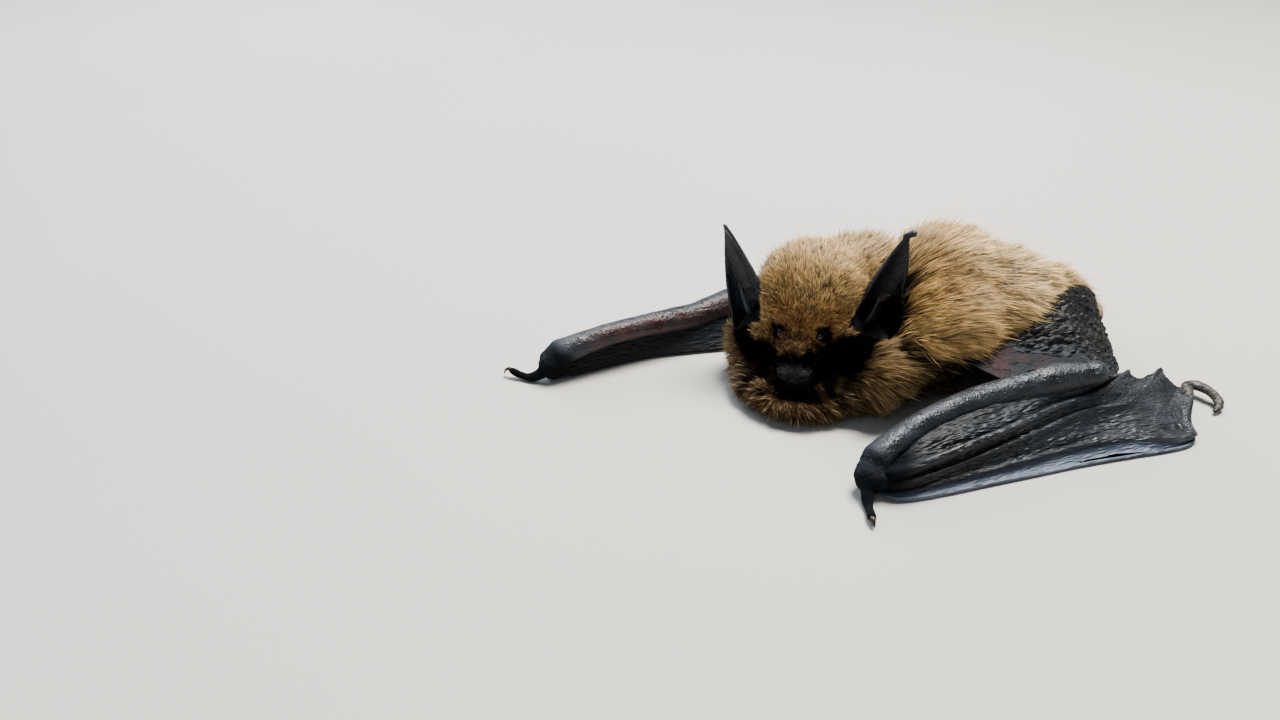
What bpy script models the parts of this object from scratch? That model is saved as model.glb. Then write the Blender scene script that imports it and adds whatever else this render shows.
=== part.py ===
"""A life-size small-footed bat, crawling: belly, wrists and thumbs on the floor, head turned to its left.

The animal faces -Y with +Z up and its left side at +X; the origin lies on the floor under the belly.
Body and head are solid out to the tips of the coat; wing skin and fingers are a little thicker than life.
Every size and position below is in millimetres and becomes metres when a mesh is made.
"""

import math

import bmesh
import bpy
from mathutils import Matrix, Vector
from mathutils.bvhtree import BVHTree

MM = 0.001
GAP = 0.3  # between neighbouring pieces
FAR = 160.0  # side of a cutting block, larger than the animal

# Head: the middle of the braincase, turned to the left, tipped down and leaned a little
HEAD_CENTRE = (-4.4, -15.0, 9.8)
HEAD_TURN = math.radians(57)
HEAD_DIP = math.radians(12)
HEAD_LEAN = math.radians(3)
EYE_RADIUS = 0.62
EYE_SEAT = (5.75, 2.4, 0.15)  # forward, left, up from the middle of the head
SNOUT_FROM = 6.4  # where the muzzle begins, forward of the middle
JAW_TOP = -4.3
JAW_FROM = 2.6

# Ears: a tapering gutter of skin, open to the side and forward
EAR_ROOT = (0.8, 6.0, -2.4)
EAR_TIP = (-2.0, 10.2, 8.9)
EAR_OPENS = math.radians(58)  # from straight ahead towards the side
EAR_HALF_ARC = 3.7
EAR_WALL = 0.55

FINGER_RADIUS = 0.42
WEB_WALL = 0.55
WEB_GAP = 0.4
WEB_REST = 0.3  # height of the middle of a web that lies on the floor

SIDES = {"left": 1, "right": -1}

# Each blob of the trunk: middle, half-lengths
TRUNK_BLOBS = (
    ((-2.0, 0.0, 10.4), (7.8, 8.6, 8.0)),
    ((0.6, -3.0, 7.2), (9.6, 8.2, 8.0)),
    ((0.0, 4.5, 8.2), (9.2, 9.5, 8.9)),
    ((0.0, 12.0, 6.8), (7.0, 8.5, 6.5)),
    ((0.0, 16.6, 6.6), (4.4, 4.4, 4.2)),
    ((-6.6, -8.2, 10.0), (6.2, 6.4, 7.4)),
    ((-1.2, -16.4, 0.9), (8.3, 8.2, 2.3)),
    ((-6.2, -18.9, 5.4), (4.7, 5.4, 5.6)),
    ((3.4, -9.8, 4.2), (5.4, 5.8, 4.3)),
)

# Each blob of the head, in the head's own axes: middle, half-lengths
HEAD_BLOBS = (
    ((-0.8, 0.0, 0.2), (6.6, 6.6, 6.3)),
    ((1.8, 3.6, -2.4), (4.4, 3.7, 3.5)),
    ((1.8, -3.6, -2.4), (4.4, 3.7, 3.5)),
    ((5.6, 0.0, -2.5), (3.9, 2.5, 2.2)),
    ((8.0, 1.15, -2.9), (1.6, 1.25, 1.3)),
    ((8.0, -1.15, -2.9), (1.6, 1.25, 1.3)),
    ((4.9, 0.0, -4.8), (3.5, 2.3, 1.6)),
)

# Arms: wrist knob, forearm from wrist to elbow, shoulder
WRISTS = {"left": (17.2, -18.6, 2.0), "right": (-13.8, -43.2, 2.0)}
FOREARMS = {
    "left": (
        (16.2, -17.3, 2.9), (14.9, -12.4, 4.7), (13.7, -6.6, 6.0), (13.1, -1.4, 6.8), (13.3, 4.2, 7.1),
        (13.9, 9.3, 6.8),
    ),
    "right": (
        (-13.7, -41.9, 2.9), (-14.4, -36.8, 3.9), (-15.5, -30.5, 4.6), (-16.6, -24.0, 5.1),
        (-17.8, -17.6, 5.6), (-18.9, -12.4, 6.0),
    ),
}
FOREARM_RADII = (1.1, 1.15, 1.25, 1.4, 1.5, 1.55, 0.9)
SHOULDERS = {"left": (4.4, -6.0, 8.6), "right": (-5.0, -6.5, 9.8)}
THUMBS = {
    "left": (
        (18.4, -19.5, 1.1), (19.6, -20.0, 0.5), (21.0, -20.5, 0.6), (21.9, -20.8, 0.75), (22.6, -20.9, 0.3),
    ),
    "right": (
        (-13.5, -44.6, 1.1), (-13.9, -45.8, 0.5), (-14.8, -46.9, 0.6), (-15.5, -47.8, 1.0),
        (-16.1, -48.5, 0.35),
    ),
}
# Fingers of the folded hand, from the wrist to the tip; the fifth is the highest, next to the forearm
FINGERS = {
    "left": {
        5: (
            (18.9, -16.7, 3.2), (18.4, -9.5, 4.0), (17.3, -3.0, 4.4), (15.6, 4.3, 4.7), (14.4, 10.0, 4.5),
            (10.6, 17.4, 3.7),
        ),
        4: (
            (19.2, -16.8, 2.1), (18.6, -10.4, 2.6), (18.0, -4.4, 2.9), (17.0, 1.0, 3.1), (15.4, 8.2, 3.2),
            (14.9, 14.6, 2.9), (9.9, 23.0, 2.4),
        ),
        3: (
            (19.1, -16.7, 1.05), (18.9, -4.5, 1.1), (18.4, 3.0, 1.05), (18.6, 10.8, 1.05), (20.4, 17.9, 0.9),
            (17.5, 20.3, 0.9), (14.8, 23.2, 1.0), (12.9, 24.7, 1.1),
        ),
        2: (
            (19.9, -16.3, 0.5), (20.1, -4.5, 0.5), (19.8, 4.0, 0.5), (20.1, 10.4, 0.5), (21.0, 15.4, 0.45),
        ),
    },
    "right": {
        5: (
            (-15.7, -41.2, 3.2), (-17.9, -29.5, 3.3), (-20.4, -17.5, 3.2), (-21.2, -12.0, 2.8),
            (-19.6, -4.6, 2.3),
        ),
        4: (
            (-15.9, -41.2, 2.1), (-18.8, -29.5, 2.2), (-21.8, -18.5, 2.1), (-22.8, -13.5, 1.8),
            (-22.8, -6.5, 1.5), (-19.6, 0.8, 1.1),
        ),
        3: (
            (-15.9, -41.0, 1.05), (-19.6, -29.4, 1.1), (-23.2, -18.2, 1.0), (-24.6, -13.4, 0.95),
            (-25.6, -5.5, 0.8), (-21.8, 3.4, 0.8),
        ),
        2: ((-16.9, -40.6, 0.45), (-21.0, -29.0, 0.45), (-24.8, -18.0, 0.45), (-26.2, -13.6, 0.45)),
    },
}
WING_TIPS = {
    "left": (
        (12.9, 24.9, 1.15), (13.6, 26.0, 1.6), (15.3, 26.5, 1.7), (16.6, 26.2, 1.1), (17.1, 25.7, 0.45),
    ),
    "right": (
        (-21.5, 4.2, 0.85), (-20.8, 5.6, 1.0), (-19.6, 6.6, 1.1), (-18.2, 6.8, 0.9), (-17.2, 6.2, 0.45),
    ),
}
# The share of each pair of finger lines that a web fills
WEB_SPANS = {"left": {4: (0.34, 0.97), 3: (0.42, 0.95)}, "right": {4: (0.3, 0.97), 3: (0.3, 0.95)}}

# Skin of the flanks and arms: the line on one side, the line on the other
FLANK_WEBS = {
    "left": (
        ((10.0, 0.6, 8.9), (9.6, 6.6, 9.8), (8.0, 12.0, 10.9), (5.8, 15.6, 11.1), (3.4, 17.8, 10.4)),
        ((13.2, 6.4, 7.0), (13.4, 11.4, 5.6), (11.2, 15.0, 4.9), (9.0, 18.2, 3.7), (7.0, 20.6, 2.4)),
    ),
    "right": (
        ((-10.2, -4.6, 8.6), (-10.4, 1.4, 9.0), (-9.4, 8.0, 9.0), (-7.6, 13.2, 9.8), (-4.6, 17.8, 9.6)),
        ((-17.2, -10.2, 4.4), (-18.0, -4.0, 2.4), (-16.4, 4.6, 1.2), (-13.2, 13.2, 0.9), (-8.8, 21.0, 2.4)),
    ),
}
FORE_WEBS = {
    "left": (
        ((9.6, -0.8, 7.4), (11.0, 3.0, 7.2), (12.4, 6.6, 7.0)),
        ((12.4, -2.4, 6.8), (12.4, 2.4, 7.1), (13.0, 6.8, 6.9)),
    ),
    "right": (
        (
            (-12.9, -41.0, 0.4), (-13.6, -37.8, 0.4), (-14.6, -31.4, 0.4), (-14.3, -25.6, 0.4),
            (-13.4, -19.0, 0.4),
        ),
        (
            (-13.8, -40.6, 3.0), (-14.3, -37.8, 3.7), (-15.3, -31.4, 4.5), (-16.2, -25.6, 5.0),
            (-17.4, -19.0, 5.5),
        ),
    ),
}
LEGS = {
    "left": {
        "hip": (3.2, 13.0, 6.2),
        "knee": (5.9, 15.0, 8.8),
        "ankle": (6.2, 20.4, 1.4),
        "toes": (11.8, 18.5, 0.5),
    },
    "right": {
        "hip": (-3.2, 13.0, 6.2),
        "knee": (-6.8, 15.4, 8.2),
        "ankle": (-8.2, 20.6, 1.4),
        "toes": (-13.4, 22.4, 0.5),
    },
}
TAIL = (
    (0.0, 19.0, 6.0), (-1.0, 22.2, 5.0), (-2.4, 24.2, 2.8), (-5.4, 25.6, 0.9), (-10.5, 26.2, 0.55),
    (-15.8, 24.0, 0.5), (-19.4, 19.2, 0.5),
)
TAIL_RADII = (1.0, 0.8, 0.7, 0.6, 0.5, 0.45, 0.3)
# From the leg round to the floor, for the skin between leg and tail
TAIL_WEB_LEGS = {
    "left": (
        (4.0, 18.2, 7.0), (5.8, 20.9, 3.8), (4.6, 22.2, 1.6), (1.0, 23.2, 0.6), (-3.4, 23.4, 0.4),
    ),
    "right": (
        (-4.8, 18.2, 7.0), (-8.0, 21.6, 3.6), (-9.4, 23.4, 2.0), (-12.0, 23.6, 1.7), (-15.0, 21.4, 1.0),
    ),
}

COLOURS = {
    "fur": (0.42, 0.25, 0.11, 1),
    "face": (0.02, 0.018, 0.017, 1),
    "skin": (0.035, 0.033, 0.036, 1),
    "claw": (0.05, 0.035, 0.025, 1),
    "eye": (0.004, 0.004, 0.004, 1),
}


# ---------------------------------------------------------------- scene and materials


def clear_scene():
    for obj in list(bpy.data.objects):
        bpy.data.objects.remove(obj, do_unlink=True)


def new_collection(name):
    collection = bpy.data.collections.new(name)
    bpy.context.scene.collection.children.link(collection)
    return collection


def material(name, colour, roughness):
    made = bpy.data.materials.new(name)
    made.use_nodes = True
    shader = made.node_tree.nodes["Principled BSDF"]
    shader.inputs["Base Color"].default_value = COLOURS[colour]
    shader.inputs["Roughness"].default_value = roughness
    return made


def publish(obj, colour, roughness):
    """Moves a body from the cutters to the animal."""
    cutters.objects.unlink(obj)
    parts.objects.link(obj)
    return finish(obj, colour, roughness)


def finish(obj, colour, roughness=0.6):
    """Gives a piece its own material."""
    obj.data.materials.clear()
    obj.data.materials.append(material(obj.name, colour, roughness))
    return obj


# ---------------------------------------------------------------- meshes


def object_of(bm, name, collection):
    mesh = bpy.data.meshes.new(name)
    bm.to_mesh(mesh)
    bm.free()
    obj = bpy.data.objects.new(name, mesh)
    collection.objects.link(obj)
    return obj


def bake(obj):
    """Applies the modifiers of an object."""
    bpy.context.view_layer.update()
    graph = bpy.context.evaluated_depsgraph_get()
    mesh = bpy.data.meshes.new_from_object(obj.evaluated_get(graph))
    obj.modifiers.clear()
    obj.data = mesh
    return obj


def drop(obj):
    bpy.data.objects.remove(obj, do_unlink=True)


def blend(name, blobs, axes, voxel, faces):
    """One smooth closed body around a set of ellipsoids, brought down to about this many faces."""
    bm = bmesh.new()
    for middle, half, *turn in blobs:
        spin = Matrix.Rotation(math.radians(turn[0] if turn else 0), 4, "Z")
        place = axes @ Matrix.Translation(Vector(middle)) @ spin @ Matrix.Diagonal((*half, 1))
        bmesh.ops.create_icosphere(bm, subdivisions=4, radius=1, matrix=Matrix.Scale(MM, 4) @ place)
    obj = object_of(bm, name, cutters)
    melt = obj.modifiers.new("melt", "REMESH")
    melt.mode = "VOXEL"
    melt.voxel_size = voxel * MM
    soften = obj.modifiers.new("soften", "SMOOTH")
    soften.factor = 0.5
    soften.iterations = 8
    bake(obj)
    thin = obj.modifiers.new("thin", "DECIMATE")
    thin.ratio = faces / (2 * len(obj.data.polygons))
    return bake(obj)


def inflated(obj, by):
    """A copy of a closed body grown by this many millimetres, to cut others with."""
    copy = bpy.data.objects.new(obj.name + "_clearance", obj.data.copy())
    cutters.objects.link(copy)
    grow = copy.modifiers.new("grow", "DISPLACE")
    grow.mid_level = 0
    grow.strength = by * MM
    return bake(copy)


def is_closed(mesh):
    """Whether a mesh has faces, and each of its edges joins two of them."""
    uses = {}
    for face in mesh.polygons:
        for key in face.edge_keys:
            uses[key] = uses.get(key, 0) + 1
    return bool(uses) and all(count == 2 for count in uses.values())


def combine(obj, other, operation, solver="EXACT"):
    """Joins or cuts with another body. Where the exact solver leaves holes, the manifold one does it."""
    before = obj.data.copy()
    join = obj.modifiers.new(operation.lower(), "BOOLEAN")
    join.operation = operation
    join.solver = solver
    join.object = other
    bake(obj)
    if is_closed(obj.data) or solver == "MANIFOLD":
        return obj
    obj.data = before
    return combine(obj, other, operation, "MANIFOLD")


def keep_largest(obj):
    """Drops the crumbs that a cut leaves beside the main body."""
    bm = bmesh.new()
    bm.from_mesh(obj.data)
    left = set(bm.verts)
    islands = []
    while left:
        seen, edge = set(), [left.pop()]
        while edge:
            vert = edge.pop()
            seen.add(vert)
            for link in vert.link_edges:
                other = link.other_vert(vert)
                if other in left:
                    left.discard(other)
                    edge.append(other)
        islands.append(seen)
    islands.sort(key=len)
    bmesh.ops.delete(bm, geom=[v for island in islands[:-1] for v in island], context="VERTS")
    bm.to_mesh(obj.data)
    bm.free()
    return obj


def cut(obj, *others, solver="EXACT", gap=GAP):
    """Takes each other body from this one, leaving the gap between pieces."""
    for other in others:
        cutter = inflated(other, gap)
        combine(obj, cutter, "DIFFERENCE", solver)
        drop(cutter)
    return keep_largest(obj)


def hull_of(obj):
    """A convex body around another, to hollow a bed for it."""
    bm = bmesh.new()
    bm.from_mesh(obj.data)
    made = bmesh.ops.convex_hull(bm, input=bm.verts)
    spare = [g for g in made["geom_interior"] + made["geom_unused"] if isinstance(g, bmesh.types.BMVert)]
    bmesh.ops.delete(bm, geom=spare, context="VERTS")
    inner = [f for f in bm.faces if f not in set(made["geom"])]
    bmesh.ops.delete(bm, geom=inner, context="FACES")
    bmesh.ops.recalc_face_normals(bm, faces=bm.faces)
    return object_of(bm, obj.name + "_hull", cutters)


def block(origin, along, side, low=-GAP / 2):
    """A large block on the far side of a plane through this point, at right angles to this direction."""
    along = Vector(along).normalized()
    across = Vector(side)
    across = (across - along * across.dot(along)).normalized()
    axes = Matrix((along, across, along.cross(across))).transposed().to_4x4()
    axes.translation = Vector(origin) + along * (FAR / 2 - low)
    bm = bmesh.new()
    bmesh.ops.create_cube(bm, size=FAR)
    bm.transform(Matrix.Scale(MM, 4) @ axes)
    return object_of(bm, "block", cutters)


def part_by(obj, name, origin, along, side=(0, 0, 1)):
    """Splits a body at a plane: the far part comes back under this name, the near part stays."""
    far = bpy.data.objects.new(name, obj.data.copy())
    cutters.objects.link(far)
    beyond = block(origin, along, side, -GAP / 2)
    combine(far, beyond, "INTERSECT")
    drop(beyond)
    taken = block(origin, along, side, GAP / 2)
    combine(obj, taken, "DIFFERENCE")
    drop(taken)
    return far


def level_below(obj, height=0.0):
    """Cuts a body off flat at this height, for its rest on the floor."""
    floor = block((0, 0, height), (0, 0, -1), (1, 0, 0), 0)
    combine(obj, floor, "DIFFERENCE")
    drop(floor)
    return obj


def surface_point(obj, start, direction):
    """Where a line from outside first meets a body."""
    tree = BVHTree.FromPolygons([v.co for v in obj.data.vertices], [p.vertices for p in obj.data.polygons])
    return tree.ray_cast(start * MM, direction)[0] / MM


def spline(points, steps):
    """Points along a smooth curve through these."""
    points = [Vector(p) for p in points]
    ends = [points[0] * 2 - points[1], *points, points[-1] * 2 - points[-2]]
    found = []
    for i in range(1, len(ends) - 2):
        a, b, c, d = ends[i - 1 : i + 3]
        for j in range(steps):
            t = j / steps
            bend, twist = 2 * a - 5 * b + 4 * c - d, 3 * b - a - 3 * c + d
            found.append(0.5 * (2 * b + (c - a) * t + bend * t**2 + twist * t**3))
    return [*found, points[-1]]


def along_spline(points, t):
    """The point at share t of a smooth curve through these."""
    fine = spline(points, 12)
    lengths = [0.0]
    for a, b in zip(fine, fine[1:]):
        lengths.append(lengths[-1] + (b - a).length)
    want = max(0.0, min(1.0, t)) * lengths[-1]
    for i in range(1, len(fine)):
        if lengths[i] >= want:
            share = (want - lengths[i - 1]) / max(lengths[i] - lengths[i - 1], 1e-9)
            return fine[i - 1].lerp(fine[i], share)
    return fine[-1]


def rod(name, points, radii, collection, steps=2, sides=1):
    """A round rod through these points, its radius eased from one to the next, with closed ends."""
    path = spline(points, steps)
    curve = bpy.data.curves.new(name, "CURVE")
    curve.dimensions = "3D"
    curve.bevel_depth = MM
    curve.bevel_resolution = sides
    curve.use_fill_caps = True
    line = curve.splines.new("POLY")
    line.points.add(len(path) - 1)
    for i, place in enumerate(path):
        at = i / (len(path) - 1) * (len(radii) - 1)
        low = min(int(at), len(radii) - 2)
        line.points[i].co = (*(place * MM), 1)
        line.points[i].radius = radii[low] + (radii[low + 1] - radii[low]) * (at - low)
    shape = bpy.data.objects.new(name, curve)
    cutters.objects.link(shape)
    bpy.context.view_layer.update()
    mesh = bpy.data.meshes.new_from_object(shape.evaluated_get(bpy.context.evaluated_depsgraph_get()))
    drop(shape)
    bm = bmesh.new()
    bm.from_mesh(mesh)
    bmesh.ops.remove_doubles(bm, verts=bm.verts, dist=1e-6)
    bmesh.ops.recalc_face_normals(bm, faces=bm.faces)
    return object_of(bm, name, collection)


def ball(name, centre, half, axes, collection, detail=3):
    bm = bmesh.new()
    place = Matrix.Scale(MM, 4) @ Matrix.Translation(Vector(centre)) @ axes @ Matrix.Diagonal((*half, 1))
    bmesh.ops.create_icosphere(bm, subdivisions=detail, radius=1, matrix=place)
    return object_of(bm, name, collection)


def sheet(name, place, across, down, thickness, collection):
    """A sheet of even thickness: place(u, v) gives its middle, with u and v from 0 to 1."""
    bm = bmesh.new()
    bmesh.ops.create_grid(bm, x_segments=across, y_segments=down, size=1)
    for vert in bm.verts:
        vert.co = place((vert.co.x + 1) / 2, (vert.co.y + 1) / 2) * MM
    obj = object_of(bm, name, collection)
    wall = obj.modifiers.new("wall", "SOLIDIFY")
    wall.thickness = thickness * MM
    wall.offset = 0
    wall.use_even_offset = False
    bake(obj)
    bm = bmesh.new()
    bm.from_mesh(obj.data)
    bmesh.ops.recalc_face_normals(bm, faces=bm.faces)
    bm.to_mesh(obj.data)
    bm.free()
    return obj


def web(name, one, other, margins, span, across, down, collection, sag=0.0, lowest=WEB_REST):
    """A web of skin between two curves, kept clear of each by a margin and pleated along its length."""

    def place(u, v):
        t = span[0] + (span[1] - span[0]) * v
        a, b = along_spline(one, t), along_spline(other, t)
        width = (b - a).length
        s = margins[0] / width + (1 - (margins[0] + margins[1]) / width) * u
        found = a.lerp(b, s)
        found.z = max(lowest, found.z - sag * math.sin(math.pi * u))
        return found

    return sheet(name, place, across, down, WEB_WALL, collection)


# ---------------------------------------------------------------- head and trunk


def head_axes():
    """The head's own axes, forward, left and up, as a matrix of millimetres."""
    level = Vector((math.sin(HEAD_TURN), -math.cos(HEAD_TURN), 0))
    forward = level * math.cos(HEAD_DIP) - Vector((0, 0, math.sin(HEAD_DIP)))
    up = level * math.sin(HEAD_DIP) + Vector((0, 0, math.cos(HEAD_DIP)))
    left = up.cross(forward)
    lean = Matrix.Rotation(HEAD_LEAN, 3, forward)
    axes = Matrix((forward, lean @ left, lean @ up)).transposed().to_4x4()
    axes.translation = Vector(HEAD_CENTRE)
    return axes


def build_trunk(head_core, ears):
    """Neck and throat, chest and abdomen, with hollows where the head and ears lie against them."""
    chest = blend("chest", TRUNK_BLOBS, Matrix.Identity(4), 0.6, 640)
    cut(chest, head_core, *[hull_of(ear) for ear in ears])
    level_below(chest)
    neck = part_by(chest, "neck", (0, -9.5, 0), (0, -1, 0))
    abdomen = part_by(chest, "abdomen", (0, 5.0, 0), (0, 1, 0))
    return [publish(piece, "fur", 0.9) for piece in (chest, neck, abdomen)]


def build_head(head, axes):
    """Parts the head into its lower jaw, its muzzle and the rest, and seats the eyes."""
    forward, left, up = (axes.to_3x3() @ Vector(v) for v in ((1, 0, 0), (0, 1, 0), (0, 0, 1)))
    for side, s in SIDES.items():
        outward = (forward * 0.75 + left * s * 0.6 + up * 0.25).normalized()
        seat = axes @ Vector((EYE_SEAT[0], EYE_SEAT[1] * s, EYE_SEAT[2]))
        centre = surface_point(head, seat + outward * 4, -outward) - outward * EYE_RADIUS * 0.35
        eye = ball(f"eye_{side}", centre, (EYE_RADIUS,) * 3, Matrix.Identity(4), parts, 2)
        cut(head, finish(eye, "eye", 0.05))
    jaw = part_by(head, "jaw_and_throat", axes @ Vector((0, 0, JAW_TOP)), -up, left)
    throat = bpy.data.objects.new("throat", jaw.data.copy())
    cutters.objects.link(throat)
    front = block(axes @ Vector((JAW_FROM, 0, 0)), forward, up, -GAP / 2)
    combine(jaw, front, "INTERSECT")
    drop(front)
    front = block(axes @ Vector((JAW_FROM, 0, 0)), forward, up, GAP / 2)
    combine(throat, front, "DIFFERENCE")
    drop(front)
    jaw.name = "lower_jaw"
    muzzle = part_by(head, "muzzle", axes @ Vector((SNOUT_FROM, 0, 0)), forward, up)
    publish(throat, "fur", 0.9)
    publish(jaw, "face", 0.7)
    publish(muzzle, "face", 0.5)
    return publish(head, "fur", 0.9)


def build_ear(side, axes, head_core):
    """The pinna: a gutter of skin, widest low down, that narrows to a rounded tip leaning outward."""
    s = SIDES[side]
    root, tip = (Vector((p[0], p[1] * s, p[2])) for p in (EAR_ROOT, EAR_TIP))
    rise = (tip - root).normalized()
    opens = Vector((math.cos(EAR_OPENS), s * math.sin(EAR_OPENS), 0))
    opens = (opens - rise * opens.dot(rise)).normalized()
    across = rise.cross(opens)

    def place(u, v):
        half_arc = EAR_HALF_ARC * (1 - v**2.4) ** 0.8 * (0.86 + 0.5 * v * (1 - v)) + 0.3
        radius = 2.35 - 1.15 * v
        angle = (u - 0.5) * 2 * half_arc / radius
        curl = opens * (radius * (1 - math.cos(angle))) + across * (radius * math.sin(angle))
        centre = root.lerp(tip, v) + opens * (0.9 * v**2 - radius * 0.8)
        return axes @ (centre + curl)

    ear = sheet(f"ear_{side}", place, 7, 7, EAR_WALL, parts)
    return finish(cut(ear, head_core), "skin", 0.45)


def build_tragus(side, axes, head_core, ear, neck):
    s = SIDES[side]
    points = [(2.2, 5.6 * s, -1.4), (2.4, 6.8 * s, 0.8), (2.1, 7.7 * s, 2.8), (1.6, 8.4 * s, 4.6)]
    tragus = rod(f"tragus_{side}", [axes @ Vector(p) for p in points], (0.6, 0.5, 0.25), parts)
    return finish(cut(tragus, head_core, ear, neck), "skin", 0.45)


# ---------------------------------------------------------------- limbs


def build_arm(side, body):
    """Wrist knob, forearm, upper arm, thumb and its claw.

    The exact solver tears the upper arm, which three bodies cut, so it uses the manifold one.
    """
    knob = level_below(ball(f"wrist_{side}", WRISTS[side], (1.9, 1.75, 2.25), Matrix.Identity(4), parts, 2))
    forearm = cut(rod(f"forearm_{side}", FOREARMS[side], FOREARM_RADII, parts, 2, 2), knob)
    shoulder, elbow = Vector(SHOULDERS[side]), Vector(FOREARMS[side][-1])
    bend = shoulder.lerp(elbow, 0.55) + Vector((0, 0, 0.5))
    upper = rod(f"upper_arm_{side}", (shoulder, bend, elbow), (2.6, 1.9, 1.4), parts, 3, 2)
    cut(upper, forearm, *body, solver="MANIFOLD")
    thumb = level_below(cut(rod(f"thumb_{side}", THUMBS[side][:4], (0.75, 0.62, 0.6, 0.45), parts), knob))
    claw = cut(rod(f"thumb_claw_{side}", THUMBS[side][3:], (0.4, 0.14), parts), thumb)
    for piece in (knob, forearm, upper, thumb):
        finish(piece, "skin", 0.4)
    finish(claw, "claw", 0.3)
    return [knob, forearm, upper, thumb]


def build_hand(side, knob):
    """The folded fingers, the skin between them and the tip of the wing."""
    lines = FINGERS[side]
    fingers = {}
    for number, points in lines.items():
        radii = (FINGER_RADIUS + 0.1, *[FINGER_RADIUS] * (len(points) - 2), FINGER_RADIUS * 0.8)
        finger = rod(f"finger_{number}_{side}", points, radii, parts)
        fingers[number] = finish(level_below(cut(finger, knob)), "skin", 0.4)
    tip = rod(f"wing_tip_{side}", WING_TIPS[side], (0.5, 0.55, 0.5, 0.4, 0.25), parts)
    finish(cut(tip, fingers[3]), "skin", 0.5)
    margin = FINGER_RADIUS + GAP + 0.1
    webs = []
    for number, span in WEB_SPANS[side].items():
        ends = (lines[number + 1], lines[number]) if number == 4 else (lines[4], lines[3])
        piece = web(f"hand_web_{number}_{side}", *ends, (margin, margin), span, 3, 9, parts)
        webs.append(finish(cut(piece, *fingers.values(), tip), "skin", 0.45))
    return [*fingers.values(), tip, *webs]


def build_leg(side, abdomen):
    """Leg and a foot whose toes and claws are one piece with it."""
    joints = {name: Vector(place) for name, place in LEGS[side].items()}
    line = [joints[name] for name in ("hip", "knee", "ankle")]
    leg = rod(f"leg_{side}", line, (2.0, 1.25, 0.65), parts, 4, 2)
    cut(leg, abdomen)
    run = joints["toes"] - joints["ankle"]
    run.z = 0
    axes = Matrix.Translation((joints["ankle"].x, joints["ankle"].y, 0.62)) @ Matrix.Rotation(
        math.atan2(run.y, run.x), 4, "Z"
    )
    toes = [((3.9 - 0.15 * abs(i), 0.52 * i, 0.0), (1.9, 0.3, 0.36), 7 * i) for i in range(-2, 3)]
    claws = [((5.75 - 0.2 * abs(i), 0.75 * i, -0.12), (0.75, 0.17, 0.3), 7 * i) for i in range(-2, 3)]
    sole = [((1.1, 0, 0.05), (1.9, 1.1, 0.66)), ((0, 0, 0.5), (0.8, 0.8, 0.95))]
    foot = blend(f"foot_{side}", sole + toes + claws, axes, 0.16, 240)
    publish(cut(level_below(foot), leg), "skin", 0.5)
    return [finish(leg, "skin", 0.5), foot]


def build_webs(limbs, trunk, tail):
    """The skin of flanks, arms and tail, cut clear of everything that it runs between.

    The exact solver loses these thin sheets where many cuts meet, so they use the manifold one.
    """
    tail_webs = []
    for side in SIDES:
        line = TAIL[:5] if side == "left" else TAIL
        piece = web(f"tail_web_{side}", line, TAIL_WEB_LEGS[side], (0.9, 0.2), (0.1, 0.95), 4, 8, parts)
        around = (tail, trunk[2], *limbs["left"], *limbs["right"], *tail_webs)
        cut(piece, *around, solver="MANIFOLD", gap=WEB_GAP)
        tail_webs.append(finish(piece, "skin", 0.5))
    for side in SIDES:
        sag = 0.3 if side == "left" else 1.4
        piece = web(f"flank_web_{side}", *FLANK_WEBS[side], (0, 0), (0, 1), 5, 9, parts, sag)
        cut(piece, *trunk, *limbs[side], *tail_webs, solver="MANIFOLD", gap=WEB_GAP)
        flank = finish(piece, "skin", 0.6)
        piece = web(f"fore_web_{side}", *FORE_WEBS[side], (0, 0), (0, 1), 3, 8, parts)
        cut(piece, *trunk, *limbs[side], flank, solver="MANIFOLD", gap=WEB_GAP)
        finish(piece, "skin", 0.5)


# ---------------------------------------------------------------- build


clear_scene()
parts = new_collection("Small-footed bat")
cutters = new_collection("cutters")

head_frame = head_axes()
head_body = blend("head", HEAD_BLOBS, head_frame, 0.45, 500)
ear_parts = [build_ear(name, head_frame, head_body) for name in SIDES]
trunk_parts = build_trunk(head_body, ear_parts)
for name, ear_part in zip(SIDES, ear_parts):
    build_tragus(name, head_frame, head_body, ear_part, trunk_parts[1])

limb_parts = {}
tail_part = cut(rod("tail", TAIL, TAIL_RADII, parts), trunk_parts[2])
finish(level_below(tail_part), "skin", 0.5)
for name in SIDES:
    arm = build_arm(name, [*trunk_parts, head_body])
    limb_parts[name] = [*arm, *build_hand(name, arm[0]), *build_leg(name, trunk_parts[2])]
build_webs(limb_parts, trunk_parts, tail_part)
build_head(head_body, head_frame)

cutters.hide_render = True
for obj in cutters.objects:
    obj.hide_render = True
    obj.display_type = "WIRE"
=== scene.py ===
"""A small-footed bat at rest: one skin, folded wings, eyes, claws and a coat of fine hair tufts."""

import itertools
import logging
import math
from dataclasses import dataclass
from enum import Enum, StrEnum

import bpy
import numpy as np
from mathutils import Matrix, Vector
from mathutils.bvhtree import BVHTree

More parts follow.
